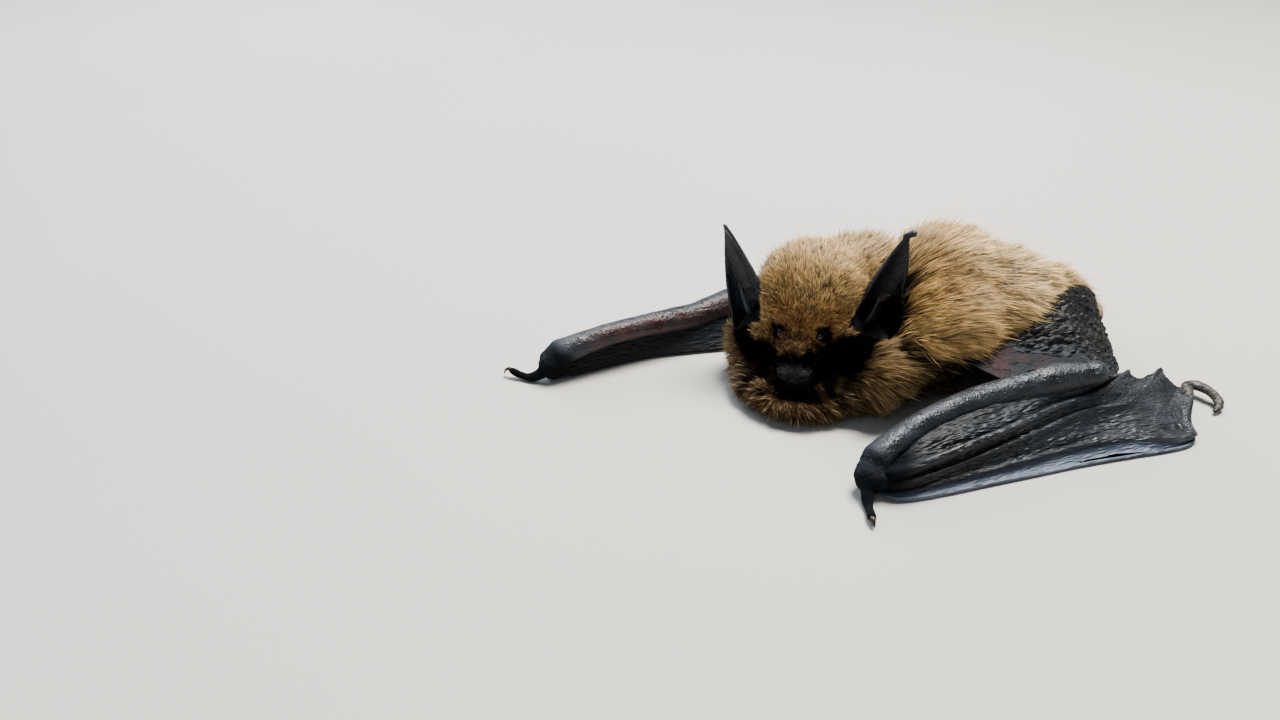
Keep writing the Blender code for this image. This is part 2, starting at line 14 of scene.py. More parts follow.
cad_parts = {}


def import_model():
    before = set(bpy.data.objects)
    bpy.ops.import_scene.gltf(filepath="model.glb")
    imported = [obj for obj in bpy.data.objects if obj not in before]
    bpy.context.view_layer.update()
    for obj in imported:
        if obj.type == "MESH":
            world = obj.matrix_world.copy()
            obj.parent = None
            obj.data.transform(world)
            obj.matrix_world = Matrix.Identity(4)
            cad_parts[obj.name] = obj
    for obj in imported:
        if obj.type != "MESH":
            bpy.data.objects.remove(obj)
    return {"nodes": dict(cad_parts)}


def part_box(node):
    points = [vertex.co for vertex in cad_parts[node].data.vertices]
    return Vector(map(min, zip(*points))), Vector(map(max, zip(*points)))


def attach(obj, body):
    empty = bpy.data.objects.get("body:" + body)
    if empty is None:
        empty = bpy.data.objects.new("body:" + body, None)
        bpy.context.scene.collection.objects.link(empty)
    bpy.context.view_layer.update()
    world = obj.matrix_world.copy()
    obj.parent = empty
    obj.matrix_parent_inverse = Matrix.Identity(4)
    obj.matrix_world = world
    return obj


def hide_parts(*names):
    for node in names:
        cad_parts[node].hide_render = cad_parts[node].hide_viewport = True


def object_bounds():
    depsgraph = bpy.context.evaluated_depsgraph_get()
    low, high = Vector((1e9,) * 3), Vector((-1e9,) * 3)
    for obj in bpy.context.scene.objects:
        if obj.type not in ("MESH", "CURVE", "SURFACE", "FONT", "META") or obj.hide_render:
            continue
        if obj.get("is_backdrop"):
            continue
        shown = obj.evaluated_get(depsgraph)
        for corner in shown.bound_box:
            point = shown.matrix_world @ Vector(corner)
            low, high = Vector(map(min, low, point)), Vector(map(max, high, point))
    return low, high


LOG = logging.getLogger("bat")
MM = 0.001
Array = np.ndarray
Point = tuple[float, float, float]
Line = tuple[Point, ...]
Colour = tuple[float, float, float]
Box = tuple[Vector, Vector]
Piece = bpy.types.Object
Material = bpy.types.Material
Tree = bpy.types.NodeTree
Node = bpy.types.Node
# Stations along a limb from 0 to 1, and its radius at each
Girth = tuple[tuple[float, ...], tuple[float, ...]]

# Everything below is in millimetres in the row frame: the bat faces -Y, its left is +X, the floor is z = 0
FLOOR_CLEARANCE = 0.06
SKIN_VOXEL = 0.15
SKIN_TRIANGLES = 169_932
BAKE_PATCH = 0.003
EYE_RADIUS = 0.53
# The last ring of a tube's rounded end, as a share of the end's radius
END_SHARE = 0.6
HASH_KEY = np.array((73856093, 19349663, 83492791))


class Side(StrEnum):
    """The two halves of the body."""

    LEFT = "left"
    RIGHT = "right"

    @property
    def sign(self) -> int:
        """1 on the left and -1 on the right."""
        return 1 if self is Side.LEFT else -1


WRISTS: dict[Side, Point] = {Side.LEFT: (17.2, -18.6, 2.0), Side.RIGHT: (-13.8, -43.2, 2.0)}
FOREARMS: dict[Side, Line] = {
    Side.LEFT: (
        (16.6, -18.0, 2.6), (14.9, -12.4, 4.7), (13.7, -6.6, 6.0), (13.1, -1.4, 6.8), (13.3, 4.2, 7.1),
        (13.9, 9.3, 6.8),
    ),
    Side.RIGHT: (
        (-13.7, -42.6, 2.6), (-14.4, -36.8, 3.9), (-15.5, -30.5, 4.6), (-16.6, -24.0, 5.1),
        (-17.8, -17.6, 5.6), (-18.9, -12.4, 6.0),
    ),
}
SHOULDERS: dict[Side, Point] = {Side.LEFT: (4.4, -6.0, 8.6), Side.RIGHT: (-5.0, -6.5, 9.8)}
THUMBS: dict[Side, Line] = {
    Side.LEFT: (
        (17.8, -19.2, 1.6), (18.4, -19.5, 1.1), (19.6, -20.0, 0.55), (21.0, -20.5, 0.6),
        (21.9, -20.8, 0.75),
    ),
    Side.RIGHT: (
        (-13.6, -43.9, 1.6), (-13.5, -44.6, 1.1), (-13.9, -45.8, 0.55), (-14.8, -46.9, 0.6),
        (-15.5, -47.8, 1.0),
    ),
}
THUMB_CLAWS: dict[Side, Line] = {
    Side.LEFT: ((21.6, -20.7, 0.72), (22.0, -20.85, 0.86), (22.4, -20.95, 0.66), (22.6, -20.95, 0.2)),
    Side.RIGHT: ((-15.3, -47.5, 0.95), (-15.7, -48.0, 1.1), (-16.0, -48.35, 0.8), (-16.1, -48.5, 0.25)),
}
# Fingers five to two of each folded hand, from the wrist to the tip
FINGERS: dict[Side, dict[int, Line]] = {
    Side.LEFT: {
        5: (
            (18.3, -17.6, 3.0), (18.9, -16.4, 3.2), (18.4, -9.5, 4.0), (17.3, -3.0, 4.4), (15.6, 4.3, 4.7),
            (14.4, 10.0, 4.5), (10.6, 17.4, 3.7),
        ),
        4: (
            (18.4, -17.8, 2.2), (19.2, -16.4, 2.1), (18.6, -10.4, 2.6), (18.0, -4.4, 2.9), (17.0, 1.0, 3.1),
            (15.4, 8.2, 3.2), (14.9, 14.6, 2.9), (9.9, 23.0, 2.4),
        ),
        3: (
            (18.3, -17.9, 1.2), (19.1, -16.4, 1.05), (18.9, -4.5, 1.1), (18.4, 3.0, 1.05), (18.6, 10.8, 1.05),
            (20.4, 17.9, 0.9), (17.5, 20.3, 0.9), (14.8, 23.2, 1.0), (12.9, 24.7, 1.1),
        ),
        2: (
            (18.4, -18.0, 0.7), (19.9, -16.3, 0.5), (20.3, -4.5, 0.4), (20.4, 4.0, 0.38), (20.7, 10.4, 0.38),
            (20.9, 17.6, 0.4), (17.7, 20.2, 0.5),
        ),
    },
    Side.RIGHT: {
        5: (
            (-14.6, -42.2, 3.0), (-15.7, -40.6, 3.2), (-17.9, -29.5, 3.3), (-20.4, -17.5, 3.2),
            (-21.2, -12.0, 2.8), (-19.6, -4.6, 2.3),
        ),
        4: (
            (-14.7, -42.2, 2.1), (-15.9, -40.6, 2.1), (-18.8, -29.5, 2.2), (-21.8, -18.5, 2.1),
            (-22.8, -13.5, 1.8), (-22.8, -6.5, 1.5), (-19.6, 0.8, 1.1),
        ),
        3: (
            (-14.7, -42.1, 1.1), (-15.9, -40.4, 1.05), (-19.6, -29.4, 1.1), (-23.2, -18.2, 1.0),
            (-24.6, -13.4, 0.95), (-25.6, -5.5, 0.8), (-21.8, 3.4, 0.8),
        ),
        2: (
            (-15.2, -42.2, 0.6), (-16.9, -40.3, 0.45), (-21.0, -29.0, 0.4), (-24.8, -18.0, 0.4),
            (-26.0, -13.0, 0.4), (-26.2, -5.4, 0.4), (-22.4, 3.0, 0.4),
        ),
    },
}
WING_TIPS: dict[Side, Line] = {
    Side.LEFT: (
        (14.2, 23.6, 1.0), (12.4, 24.9, 1.2), (12.6, 25.8, 1.35), (14.0, 26.3, 1.35), (15.2, 26.5, 1.0),
        (16.2, 26.0, 0.65), (16.7, 25.0, 0.5),
    ),
    Side.RIGHT: (
        (-22.2, 2.4, 0.8), (-21.5, 4.2, 0.85), (-20.8, 5.6, 1.0), (-19.6, 6.6, 1.1), (-18.2, 6.8, 0.9),
        (-17.2, 6.2, 0.45),
    ),
}
LEGS: dict[Side, Line] = {
    Side.LEFT: ((2.0, 12.0, 6.2), (3.0, 12.8, 6.4), (4.4, 14.2, 7.4), (4.8, 17.0, 4.4), (5.6, 19.6, 1.2)),
    Side.RIGHT: (
        (-2.0, 12.0, 6.2), (-3.2, 13.0, 6.4), (-6.8, 15.4, 7.8), (-7.9, 18.2, 4.4), (-8.2, 20.6, 1.2),
    ),
}
FOREARM_REDNESS = {Side.LEFT: 0.35, Side.RIGHT: 0.8}
# How far the toes' roots lie below the ankle, and how much shorter each toe is than the middle one
TOE_DROP = -0.72
TOE_SHORTENING = 0.16
TOE_AIMS = {Side.LEFT: (11.8, 18.5), Side.RIGHT: (-13.4, 22.4)}
TAIL: Line = (
    (0.0, 17.0, 6.0), (0.0, 19.0, 6.0), (-1.0, 22.2, 5.0), (-2.4, 24.2, 2.8), (-5.4, 25.6, 0.9),
    (-10.5, 26.2, 0.55), (-15.8, 24.0, 0.5), (-19.4, 19.2, 0.5),
)


# ------------------------------------------------------------------ numbers


def spline(points: Line, count: int) -> Array:
    """Evenly spaced points along a smooth curve.

    Args:
        points: the points that the curve passes through.
        count: how many points to return.

    Returns:
        An array of count rows.
    """
    known = np.array(points, float)
    ends = np.vstack([2 * known[0] - known[1], known, 2 * known[-1] - known[-2]])
    fine = []
    share = np.linspace(0, 1, 12, endpoint=False)[:, None]
    for a, b, c, d in zip(ends, ends[1:], ends[2:], ends[3:]):
        bend, twist = 2 * a - 5 * b + 4 * c - d, 3 * b - a - 3 * c + d
        fine.append(0.5 * (2 * b + (c - a) * share + bend * share**2 + twist * share**3))
    fine = np.vstack([*fine, known[-1:]])
    run = np.concatenate([[0], np.cumsum(np.linalg.norm(np.diff(fine, axis=0), axis=1))])
    want = np.linspace(0, run[-1], count)
    return np.column_stack([np.interp(want, run, fine[:, i]) for i in range(3)])


def eased(low: float, high: float, value: Array) -> Array:
    """Zero below low, one above high and eased between them."""
    share = np.clip((value - low) / (high - low), 0, 1)
    return share * share * (3 - 2 * share)


def unit(vectors: Array) -> Array:
    """The same directions with length one."""
    return vectors / np.maximum(np.linalg.norm(vectors, axis=-1, keepdims=True), 1e-9)


def distance(points: Array, middle: Point | Array, half: Point = (1.0, 1.0, 1.0)) -> Array:
    """How far each point is from a middle, counted in half-lengths along the axes."""
    return np.linalg.norm((points - np.asarray(middle)) / half, axis=1)


def nearest(points: Array, middles: list[Point | Array]) -> Array:
    """How far each point is from the nearest of several middles."""
    return np.minimum.reduce([distance(points, middle) for middle in middles])


def bell(value: Array, width: float) -> Array:
    """One at zero, falling away over the width on both sides."""
    return np.exp(-((value / width) ** 2))


def profile(count: int, values: tuple[float, ...], stations: tuple[float, ...] | None = None) -> Array:
    """Values read off a row of stations at even steps from 0 to 1.

    Args:
        count: how many values to return.
        values: the value at each station.
        stations: where the stations are; evenly spaced if they are left out.

    Returns:
        An array of count values.
    """
    places = np.linspace(0, 1, len(values)) if stations is None else stations
    return np.interp(np.linspace(0, 1, count), places, values)


def noise(points: Array, scale: float, seed: int = 0) -> Array:
    """Smooth noise from -1 to 1.

    Args:
        points: where to read it, one row each.
        scale: the size of its bumps.
        seed: which noise it is.

    Returns:
        One value for each row.
    """
    place = points / scale + 7.31 * seed
    cell = np.floor(place).astype(np.int64)
    part = place - cell
    part = part * part * (3 - 2 * part)
    total = np.zeros(len(points))
    for corner in itertools.product((0, 1), repeat=3):
        key = (cell + corner) @ HASH_KEY + seed * 971
        key = (key ^ (key >> 13)) * 1274126177
        value = ((key ^ (key >> 16)) & 0xFFFF) / 32767.5 - 1
        total += value * np.prod(np.where(np.array(corner) == 1, part, 1 - part), axis=1)
    return total


def fractal(points: Array, scale: float, seed: int = 0, octaves: int = 3) -> Array:
    """Several sizes of noise, each half as large and half as strong as the one before."""
    return sum(noise(points, scale / 2**i, seed + i) / 2**i for i in range(octaves))


def distance_to_line(points: Array, line: Array) -> tuple[Array, Array]:
    """How far each point is from a polyline, and how far along it the nearest place is.

    Args:
        points: the points, one row each.
        line: the polyline, one row each.

    Returns:
        The distances, and the shares from 0 at the line's start to 1 at its end.
    """
    best = np.full(len(points), 1e9)
    along = np.zeros(len(points))
    for i, (a, b) in enumerate(zip(line, line[1:])):
        share = np.clip((points - a) @ (b - a) / max((b - a) @ (b - a), 1e-9), 0, 1)
        away = np.linalg.norm(points - a - share[:, None] * (b - a), axis=1)
        nearer = away < best
        best[nearer] = away[nearer]
        along[nearer] = (i + share[nearer]) / (len(line) - 1)
    return best, along


@dataclass(frozen=True)
class HeadAxes:
    """The head's own axes: forward, left and up from the middle of the braincase."""

    centre: Point = (-4.4, -15.0, 9.8)
    turn: float = math.radians(57)
    dip: float = math.radians(12)
    lean: float = math.radians(3)
    muzzle_turn: float = 0.085

    def matrix(self) -> Array:
        """The three axes as the columns of a matrix."""
        level = np.array((math.sin(self.turn), -math.cos(self.turn), 0))
        rise = np.array((0, 0, 1.0))
        forward = level * math.cos(self.dip) - rise * math.sin(self.dip)
        up = level * math.sin(self.dip) + rise * math.cos(self.dip)
        left = np.cross(up, forward)
        c, s = math.cos(self.lean), math.sin(self.lean)
        return np.column_stack([forward, c * left + s * up, c * up - s * left])

    def world(self, points: Array) -> Array:
        """Head coordinates to the row frame."""
        h = np.atleast_2d(np.array(points, float)).copy()
        h[:, 1] -= self.muzzle_turn * np.maximum(h[:, 0], 0)
        return h @ self.matrix().T + np.array(self.centre)

    def local(self, points: Array) -> Array:
        """The row frame to head coordinates."""
        h = (points - np.array(self.centre)) @ self.matrix()
        h[..., 1] += self.muzzle_turn * np.maximum(h[..., 0], 0)
        return h


HEAD = HeadAxes()


# ------------------------------------------------------------------ meshes


def deselect() -> None:
    """Clears the selection, so that an operator acts only on what comes next."""
    bpy.ops.object.select_all(action="DESELECT")


def select_only(obj: Piece) -> None:
    """Makes one object the selected and active one."""
    deselect()
    obj.select_set(True)
    bpy.context.view_layer.objects.active = obj


def mesh_object(name: str, points: Array, faces: list | Array) -> Piece:
    """A mesh object from points in millimetres.

    Args:
        name: its name.
        points: one row for each vertex.
        faces: the corners of each face.

    Returns:
        The object, at the origin and shaded smooth.
    """
    mesh = bpy.data.meshes.new(name)
    mesh.from_pydata((np.asarray(points) * MM).tolist(), [], [list(map(int, f)) for f in faces])
    obj = bpy.data.objects.new(name, mesh)
    bpy.context.scene.collection.objects.link(obj)
    mesh.shade_smooth()
    return obj


def apply(obj: Piece, kind: str, **settings: float | int | str | bool) -> None:
    """Adds a modifier of some kind to an object, with values for its properties, and applies it."""
    modifier = obj.modifiers.new(kind.lower(), kind)
    for key, value in settings.items():
        setattr(modifier, key, value)
    select_only(obj)
    bpy.ops.object.modifier_apply(modifier=modifier.name)


def join(objects: list[Piece], name: str) -> Piece:
    """Joins objects into the first one and names it."""
    deselect()
    for obj in objects:
        obj.select_set(True)
    bpy.context.view_layer.objects.active = objects[0]
    if len(objects) > 1:
        bpy.ops.object.join()
    objects[0].name = name
    return objects[0]


def points_of(obj: Piece) -> Array:
    """The vertices of an object in millimetres."""
    flat = np.empty(len(obj.data.vertices) * 3, np.float32)
    obj.data.vertices.foreach_get("co", flat)
    return flat.reshape(-1, 3).astype(float) / MM


def normals_of(obj: Piece) -> Array:
    """The vertex normals of an object."""
    flat = np.empty(len(obj.data.vertices) * 3, np.float32)
    obj.data.vertex_normals.foreach_get("vector", flat)
    return flat.reshape(-1, 3).astype(float)


def place_points(obj: Piece, points: Array) -> None:
    """Moves the vertices of an object to these points in millimetres."""
    obj.data.vertices.foreach_set("co", (points * MM).astype(np.float32).ravel())
    obj.data.update()


def paint(obj: Piece, colours: Array, gloss: float | Array = 1.0) -> None:
    """Stores a colour and, as its alpha, a gloss for each vertex, which the finishes read as the markings."""
    layer = obj.data.color_attributes.new("marking", "FLOAT_COLOR", "POINT")
    rgba = np.column_stack([colours, np.broadcast_to(gloss, len(colours))])
    layer.data.foreach_set("color", rgba.astype(np.float32).ravel())


def ball(middle: Array, half: Point, axes: Array | None = None) -> Piece:
    """A closed ellipsoid from its centre, its half-lengths and its own axes as the columns of a matrix."""
    bpy.ops.mesh.primitive_ico_sphere_add(subdivisions=4, radius=1)
    obj = bpy.context.object
    turned = np.eye(3) if axes is None else axes
    place_points(obj, (points_of(obj) * MM * np.array(half)) @ turned.T + np.asarray(middle))
    return obj


def tube(
    path: Array, radii: Array, name: str = "tube", sides: int = 14, flat: float = 1.0
) -> Piece:
    """A closed tube with rounded ends that follows a path.

    Args:
        path: the middle of each ring.
        radii: the radius of each ring.
        name: the object's name.
        sides: how many points each ring has.
        flat: the height of each ring as a share of its width.

    Returns:
        A closed mesh object.
    """
    run = unit(np.gradient(path, axis=0))
    side = unit(np.cross(run, (0, 0, 1.0)))
    lift = np.cross(side, run)
    turn = np.linspace(0, 2 * math.pi, sides, endpoint=False)
    rings = [(path[0] - run[0] * radii[0] * END_SHARE, radii[0] * END_SHARE, 0)]
    rings += [(middle, radius, i) for i, (middle, radius) in enumerate(zip(path, radii))]
    rings += [(path[-1] + run[-1] * radii[-1] * END_SHARE, radii[-1] * END_SHARE, len(path) - 1)]
    points = [
        middle + radius * (math.cos(a) * side[i] + flat * math.sin(a) * lift[i])
        for middle, radius, i in rings
        for a in turn
    ]
    last = (len(rings) - 1) * sides
    faces = [
        (k * sides + j, k * sides + (j + 1) % sides, (k + 1) * sides + (j + 1) % sides, (k + 1) * sides + j)
        for k in range(len(rings) - 1)
        for j in range(sides)
    ]
    faces += [tuple(reversed(range(sides))), tuple(last + j for j in range(sides))]
    obj = mesh_object(name, np.array(points), faces)
    select_only(obj)
    bpy.ops.object.mode_set(mode="EDIT")
    bpy.ops.mesh.select_all(action="SELECT")
    bpy.ops.mesh.normals_make_consistent(inside=False)
    bpy.ops.object.mode_set(mode="OBJECT")
    return obj


def limb(line: Line | Array, count: int, girth: Girth, **settings: str | int | float) -> Piece:
    """A tube along a smooth curve.

    Args:
        line: the points that it passes through.
        count: how many rings it has.
        girth: stations along it and its radius at each.
        settings: the name, the number of sides and the flatness, as for a tube.

    Returns:
        A closed mesh object.
    """
    stations, radii = girth
    return tube(spline(line, count), profile(count, radii, stations), **settings)


def grid_faces(rows: int, columns: int) -> Array:
    """The quads of a grid of points that is stored row by row."""
    corner = (np.arange(rows - 1)[:, None] * columns + np.arange(columns - 1)[None, :]).ravel()
    return np.column_stack([corner, corner + 1, corner + columns + 1, corner + columns])


def membrane(name: str, grid: Array, thickness: float) -> Piece:
    """A closed skin of even thickness over a grid of points.

    Args:
        name: the object's name.
        grid: the points of its middle, as rows, columns and coordinates.
        thickness: how thick it is.

    Returns:
        The object.
    """
    rows, columns = grid.shape[:2]
    obj = mesh_object(name, grid.reshape(-1, 3), grid_faces(rows, columns))
    apply(obj, "SOLIDIFY", thickness=thickness * MM, offset=0.0, use_even_offset=False)
    obj.data.shade_smooth()
    return obj


# ------------------------------------------------------------------ markings


class Tone(Enum):
    """The colours of skin and hair, in linear light."""

    BLACK_SKIN = (0.0085, 0.0088, 0.0100)
    ARM_SKIN = (0.0125, 0.0148, 0.0180)
    RED_SKIN = (0.0750, 0.0230, 0.0200)
    TIP_SKIN = (0.0660, 0.0550, 0.0470)
    FLANK_SKIN = (0.0130, 0.0118, 0.0110)
    # Painted bluish sheen for the wing's edge that lies on the floor
    EDGE_SHEEN = (0.1250, 0.1480, 0.1900)
    UNDER_FUR = (0.0200, 0.0120, 0.0080)
    HAIR_ROOT = (0.0110, 0.0065, 0.0045)
    GOLD = (0.4600, 0.2820, 0.1020)
    CREAM = (0.6900, 0.5050, 0.2600)
    ORANGE = (0.4200, 0.1850, 0.0450)
    TAN = (0.3300, 0.2150, 0.1000)
    HALF_TAN = (0.1650, 0.1075, 0.0500)
    GUARD_HAIR = (0.7935, 0.58075, 0.2990)
    MASK_HAIR = (0.0042, 0.0036, 0.0034)
    # Painted shade on the hair in the hollow between the chest and the left forearm
    ARMPIT_SHADE = (0.0500, 0.0270, 0.0140)
    # Painted shade on the hair low on the throat and under the chin, near the floor
    CHIN_SHADE = (0.0550, 0.0300, 0.0120)
    DARK_HAIR = (0.0600, 0.0350, 0.0200)

    def array(self) -> Array:
        """The tone as an array."""
        return np.array(self.value)


def mixed(one: Array, other: Tone, share: Array) -> Array:
    """Colours between some others and a tone, row by row."""
    return one + (other.array() - one) * np.asarray(share)[:, None]


# The borders of the black mask in head coordinates: places to the left, and the height at each
BROW_LINE = (
    (-7.8, -6.0, -4.3, -3.0, -1.6, -0.3, 0.6, 1.8, 3.4, 4.6, 6.0, 8.5),
    (-1.2, -0.8, -1.2, -1.6, -1.2, -0.9, -0.6, -0.7, -0.7, -0.4, -0.2, -1.6),
)
CHIN_LINE = (
    (-8.4, -7.4, -6.4, -5.2, -4.0, -1.6, 1.0, 3.0, 4.8, 6.0, 6.8, 7.4, 8.4),
    (-1.6, -2.6, -4.0, -5.1, -5.5, -5.0, -5.0, -5.1, -4.9, -3.9, -2.7, -1.6, -1.9),
)


def ear_base_share(h: Array) -> Array:
    """How near each point, in head coordinates, is to the dark skin in front of and under an ear."""
    away = [distance(h, (2.7, 6.5 * s, -1.7), (1.1, 1.0, 1.05)) for s in (1, -1)]
    return eased(2.3, 1.5, np.minimum(*away))


def mask_share(points: Array) -> Array:
    """How much each point belongs to the black face.

    Args:
        points: places on or near the head.

    Returns:
        1 inside the mask, 0 outside it and a ragged border between.
    """
    h = HEAD.local(points)
    ragged = 0.4 * noise(points, 0.9, 5)
    below_brow = eased(-0.35, 0.35, np.interp(h[:, 1], *BROW_LINE) - h[:, 2] + ragged)
    above_chin = eased(-0.7, 0.7, h[:, 2] - np.interp(h[:, 1], *CHIN_LINE) + 1.6 * ragged)
    in_front = eased(0.8, 2.4, h[:, 0] + ragged)
    near = eased(14.5, 13.0, np.linalg.norm(h, axis=1))
    face = below_brow * above_chin * in_front * near
    lids = nearest(points, [eye_centre(side) for side in Side])
    return np.maximum.reduce([face, ear_base_share(h), eased(1.1, 0.75, lids + 0.6 * ragged)])


def nose_share(points: Array) -> Array:
    """How much each point belongs to the bare skin of the nose and the upper lip."""
    return eased(1.2, 0.85, distance(HEAD.local(points), (8.7, 0, -3.0), (1.5, 2.3, 1.25)))


def head_share(points: Array) -> Array:
    """How much each point belongs to the head rather than the trunk."""
    return eased(8.6, 6.6, distance(HEAD.local(points), (1.0, 0, -0.6), (1.6, 1, 1)))


# ------------------------------------------------------------------ finishes


# What Blender's noise mostly stays within
NOISE_RANGE = (0.3, 0.7)


def group_socket(tree: Tree, name: str, way: str, kind: str, value: float = 0.0) -> None:
    """Adds an INPUT or OUTPUT socket of some kind to a node group, with a default where it is a number."""
    socket = tree.interface.new_socket(name, in_out=way, socket_type=kind)
    if kind == "NodeSocketFloat":
        socket.default_value = value


def add_node(
    tree: Tree, kind: str, values: dict | None = None, **settings: str | Tree
) -> Node:
    """Adds a node to a material or a group.

    Args:
        tree: the material's or the group's nodes.
        kind: the node's type, without the ShaderNode in front.
        values: constants for its inputs, by name or place.
        settings: its own properties, such as the operation.

    Returns:
        The node.
    """
    node = tree.nodes.new(f"ShaderNode{kind}")
    for key, value in settings.items():
        setattr(node, key, value)
    for key, value in (values or {}).items():
        node.inputs[key].default_value = value
    return node


def times(tree: Tree, factor: float | None = None) -> Node:
    """A node that multiplies its first input by a constant or, without one, by its second input."""
    return add_node(tree, "Math", None if factor is None else {1: factor}, operation="MULTIPLY")


def noise_to(tree: Tree, low: float, high: float) -> Node:
    """A node that spreads a noise between two values."""
    start, end = NOISE_RANGE
    return add_node(tree, "MapRange", {"From Min": start, "From Max": end, "To Min": low, "To Max": high})


def wire(tree: Tree, *links: tuple[Node, str | int, Node, str | int]) -> None:
    """Adds links: each is a node and its output, then the node and the input that read it."""
    for source, output, target, entry in links:
        tree.links.new(source.outputs[output], target.inputs[entry])


def new_material(name: str) -> tuple[Material, Tree, Node]:
    """A new material, its nodes and its shader."""
    material = bpy.data.materials.new(name)
    material.use_nodes = True
    return material, material.node_tree, material.node_tree.nodes["Principled BSDF"]


def cloud_colour(
    tree: Tree, shader: Node, scale: float, dark: Colour, light: Colour
) -> None:
    """Gives a shader a base colour that wanders slowly between two.

    Args:
        tree: the material's nodes.
        shader: the shader to colour.
        scale: how many clouds there are to a metre.
        dark: the colour at the noise's low end.
        light: the colour at its high end.
    """
    place = add_node(tree, "TexCoord")
    cloud = add_node(tree, "TexNoise", {"Scale": scale})
    blend = add_node(tree, "Mix", {"A": (*dark, 1), "B": (*light, 1)}, data_type="RGBA")
    wire(
        tree,
        (place, "Object", cloud, "Vector"),
        (cloud, "Fac", blend, "Factor"),
        (blend, "Result", shader, "Base Color"),
    )


def crinkle_group() -> Tree:
    """The grain of bare skin: fine crossed wrinkles, pores and a change of shade over a few millimetres.

    Returns:
        The group, which takes a place and puts out a height and a shade.
    """
    tree = bpy.data.node_groups.new("skin_grain", "ShaderNodeTree")
    group_socket(tree, "Vector", "INPUT", "NodeSocketVector")
    group_socket(tree, "Wrinkles per metre", "INPUT", "NodeSocketFloat", 2500.0)
    group_socket(tree, "Pores", "INPUT", "NodeSocketFloat", 0.3)
    group_socket(tree, "Height", "OUTPUT", "NodeSocketFloat")
    group_socket(tree, "Shade", "OUTPUT", "NodeSocketFloat")
    come, go = tree.nodes.new("NodeGroupInput"), tree.nodes.new("NodeGroupOutput")
    wrinkles = add_node(tree, "TexNoise", {"Detail": 3.0}, noise_type="RIDGED_MULTIFRACTAL")
    pores = add_node(tree, "TexVoronoi")
    pores_per_wrinkle = times(tree, 2.1)
    pore_height = times(tree)
    total = add_node(tree, "Math", operation="ADD")
    patch = add_node(tree, "TexNoise", {"Scale": 420.0, "Detail": 4.0})
    wire(
        tree,
        (come, "Vector", wrinkles, "Vector"),
        (come, "Wrinkles per metre", wrinkles, "Scale"),
        (come, "Wrinkles per metre", pores_per_wrinkle, 0),
        (come, "Vector", pores, "Vector"),
        (pores_per_wrinkle, 0, pores, "Scale"),
        (pores, "Distance", pore_height, 0),
        (come, "Pores", pore_height, 1),
        (wrinkles, "Fac", total, 0),
        (pore_height, 0, total, 1),
        (come, "Vector", patch, "Vector"),
        (total, 0, go, "Height"),
        (patch, "Fac", go, "Shade"),
    )
    return tree


@dataclass(frozen=True)
class SkinFinish:
    """Bare skin that takes its colour from the markings and its grain from the shared group."""

    name: str
    wrinkles: float = 2500.0
    pores: float = 0.3
    bump: float = 0.11
    roughness: tuple[float, float] = (0.36, 0.55)
    specular: float = 0.5
    stretch: Point = (1.0, 1.0, 1.0)

    def build(self, grain: Tree) -> Material:
        """Makes the material.

        Args:
            grain: the shared skin grain group.

        Returns:
            The material.
        """
        material, tree, shader = new_material(self.name)
        place = add_node(tree, "TexCoord")
        scale = add_node(tree, "Mapping", {"Scale": self.stretch})
        texture = add_node(tree, "Group", node_tree=grain)
        texture.inputs["Wrinkles per metre"].default_value = self.wrinkles
        texture.inputs["Pores"].default_value = self.pores
        marking = add_node(tree, "Attribute", attribute_name="marking")
        shade = noise_to(tree, 0.55, 1.5)
        tinted = add_node(tree, "VectorMath", operation="SCALE")
        rough = noise_to(tree, *self.roughness)
        dulled = add_node(tree, "Math", operation="DIVIDE")
        shine = times(tree, self.specular)
        bump = add_node(tree, "Bump", {"Distance": self.bump * MM})
        wire(
            tree,
            (place, "Object", scale, "Vector"),
            (scale, "Vector", texture, "Vector"),
            (texture, "Shade", shade, "Value"),
            (texture, "Shade", rough, "Value"),
            (marking, "Color", tinted, 0),
            (shade, "Result", tinted, "Scale"),
            (tinted, "Vector", shader, "Base Color"),
            (rough, "Result", dulled, 0),
            (marking, "Alpha", dulled, 1),
            (dulled, 0, shader, "Roughness"),
            (marking, "Alpha", shine, 0),
            (shine, 0, shader, "Specular IOR Level"),
            (texture, "Height", bump, "Height"),
            (bump, "Normal", shader, "Normal"),
        )
        return material


@dataclass(frozen=True)
class CoatFinish:
    """Hair that takes its root and tip colours from the markings."""

    name: str = "fine_coat_hair"
    roughness: float = 0.6
    specular: float = 0.4
    sheen: float = 0.12
    sheen_roughness: float = 0.4
    patches_per_metre: float = 700.0
    patch_shades: tuple[float, float] = (0.82, 1.15)

    def build(self) -> Material:
        """Makes the material.

        Returns:
            The material.
        """
        material, tree, shader = new_material(self.name)
        shader.inputs["Roughness"].default_value = self.roughness
        shader.inputs["Sheen Roughness"].default_value = self.sheen_roughness
        marking = add_node(tree, "Attribute", attribute_name="marking")
        shine = times(tree, self.specular)
        dust = times(tree, self.sheen)
        place = add_node(tree, "TexCoord")
        patch = add_node(tree, "TexNoise", {"Scale": self.patches_per_metre})
        shade = noise_to(tree, *self.patch_shades)
        tinted = add_node(tree, "VectorMath", operation="SCALE")
        wire(
            tree,
            (place, "Object", patch, "Vector"),
            (patch, "Fac", shade, "Value"),
            (marking, "Color", tinted, 0),
            (shade, "Result", tinted, "Scale"),
            (tinted, "Vector", shader, "Base Color"),
            (marking, "Alpha", shine, 0),
            (shine, 0, shader, "Specular IOR Level"),
            (marking, "Alpha", dust, 0),
            (dust, 0, shader, "Sheen Weight"),
        )
        return material


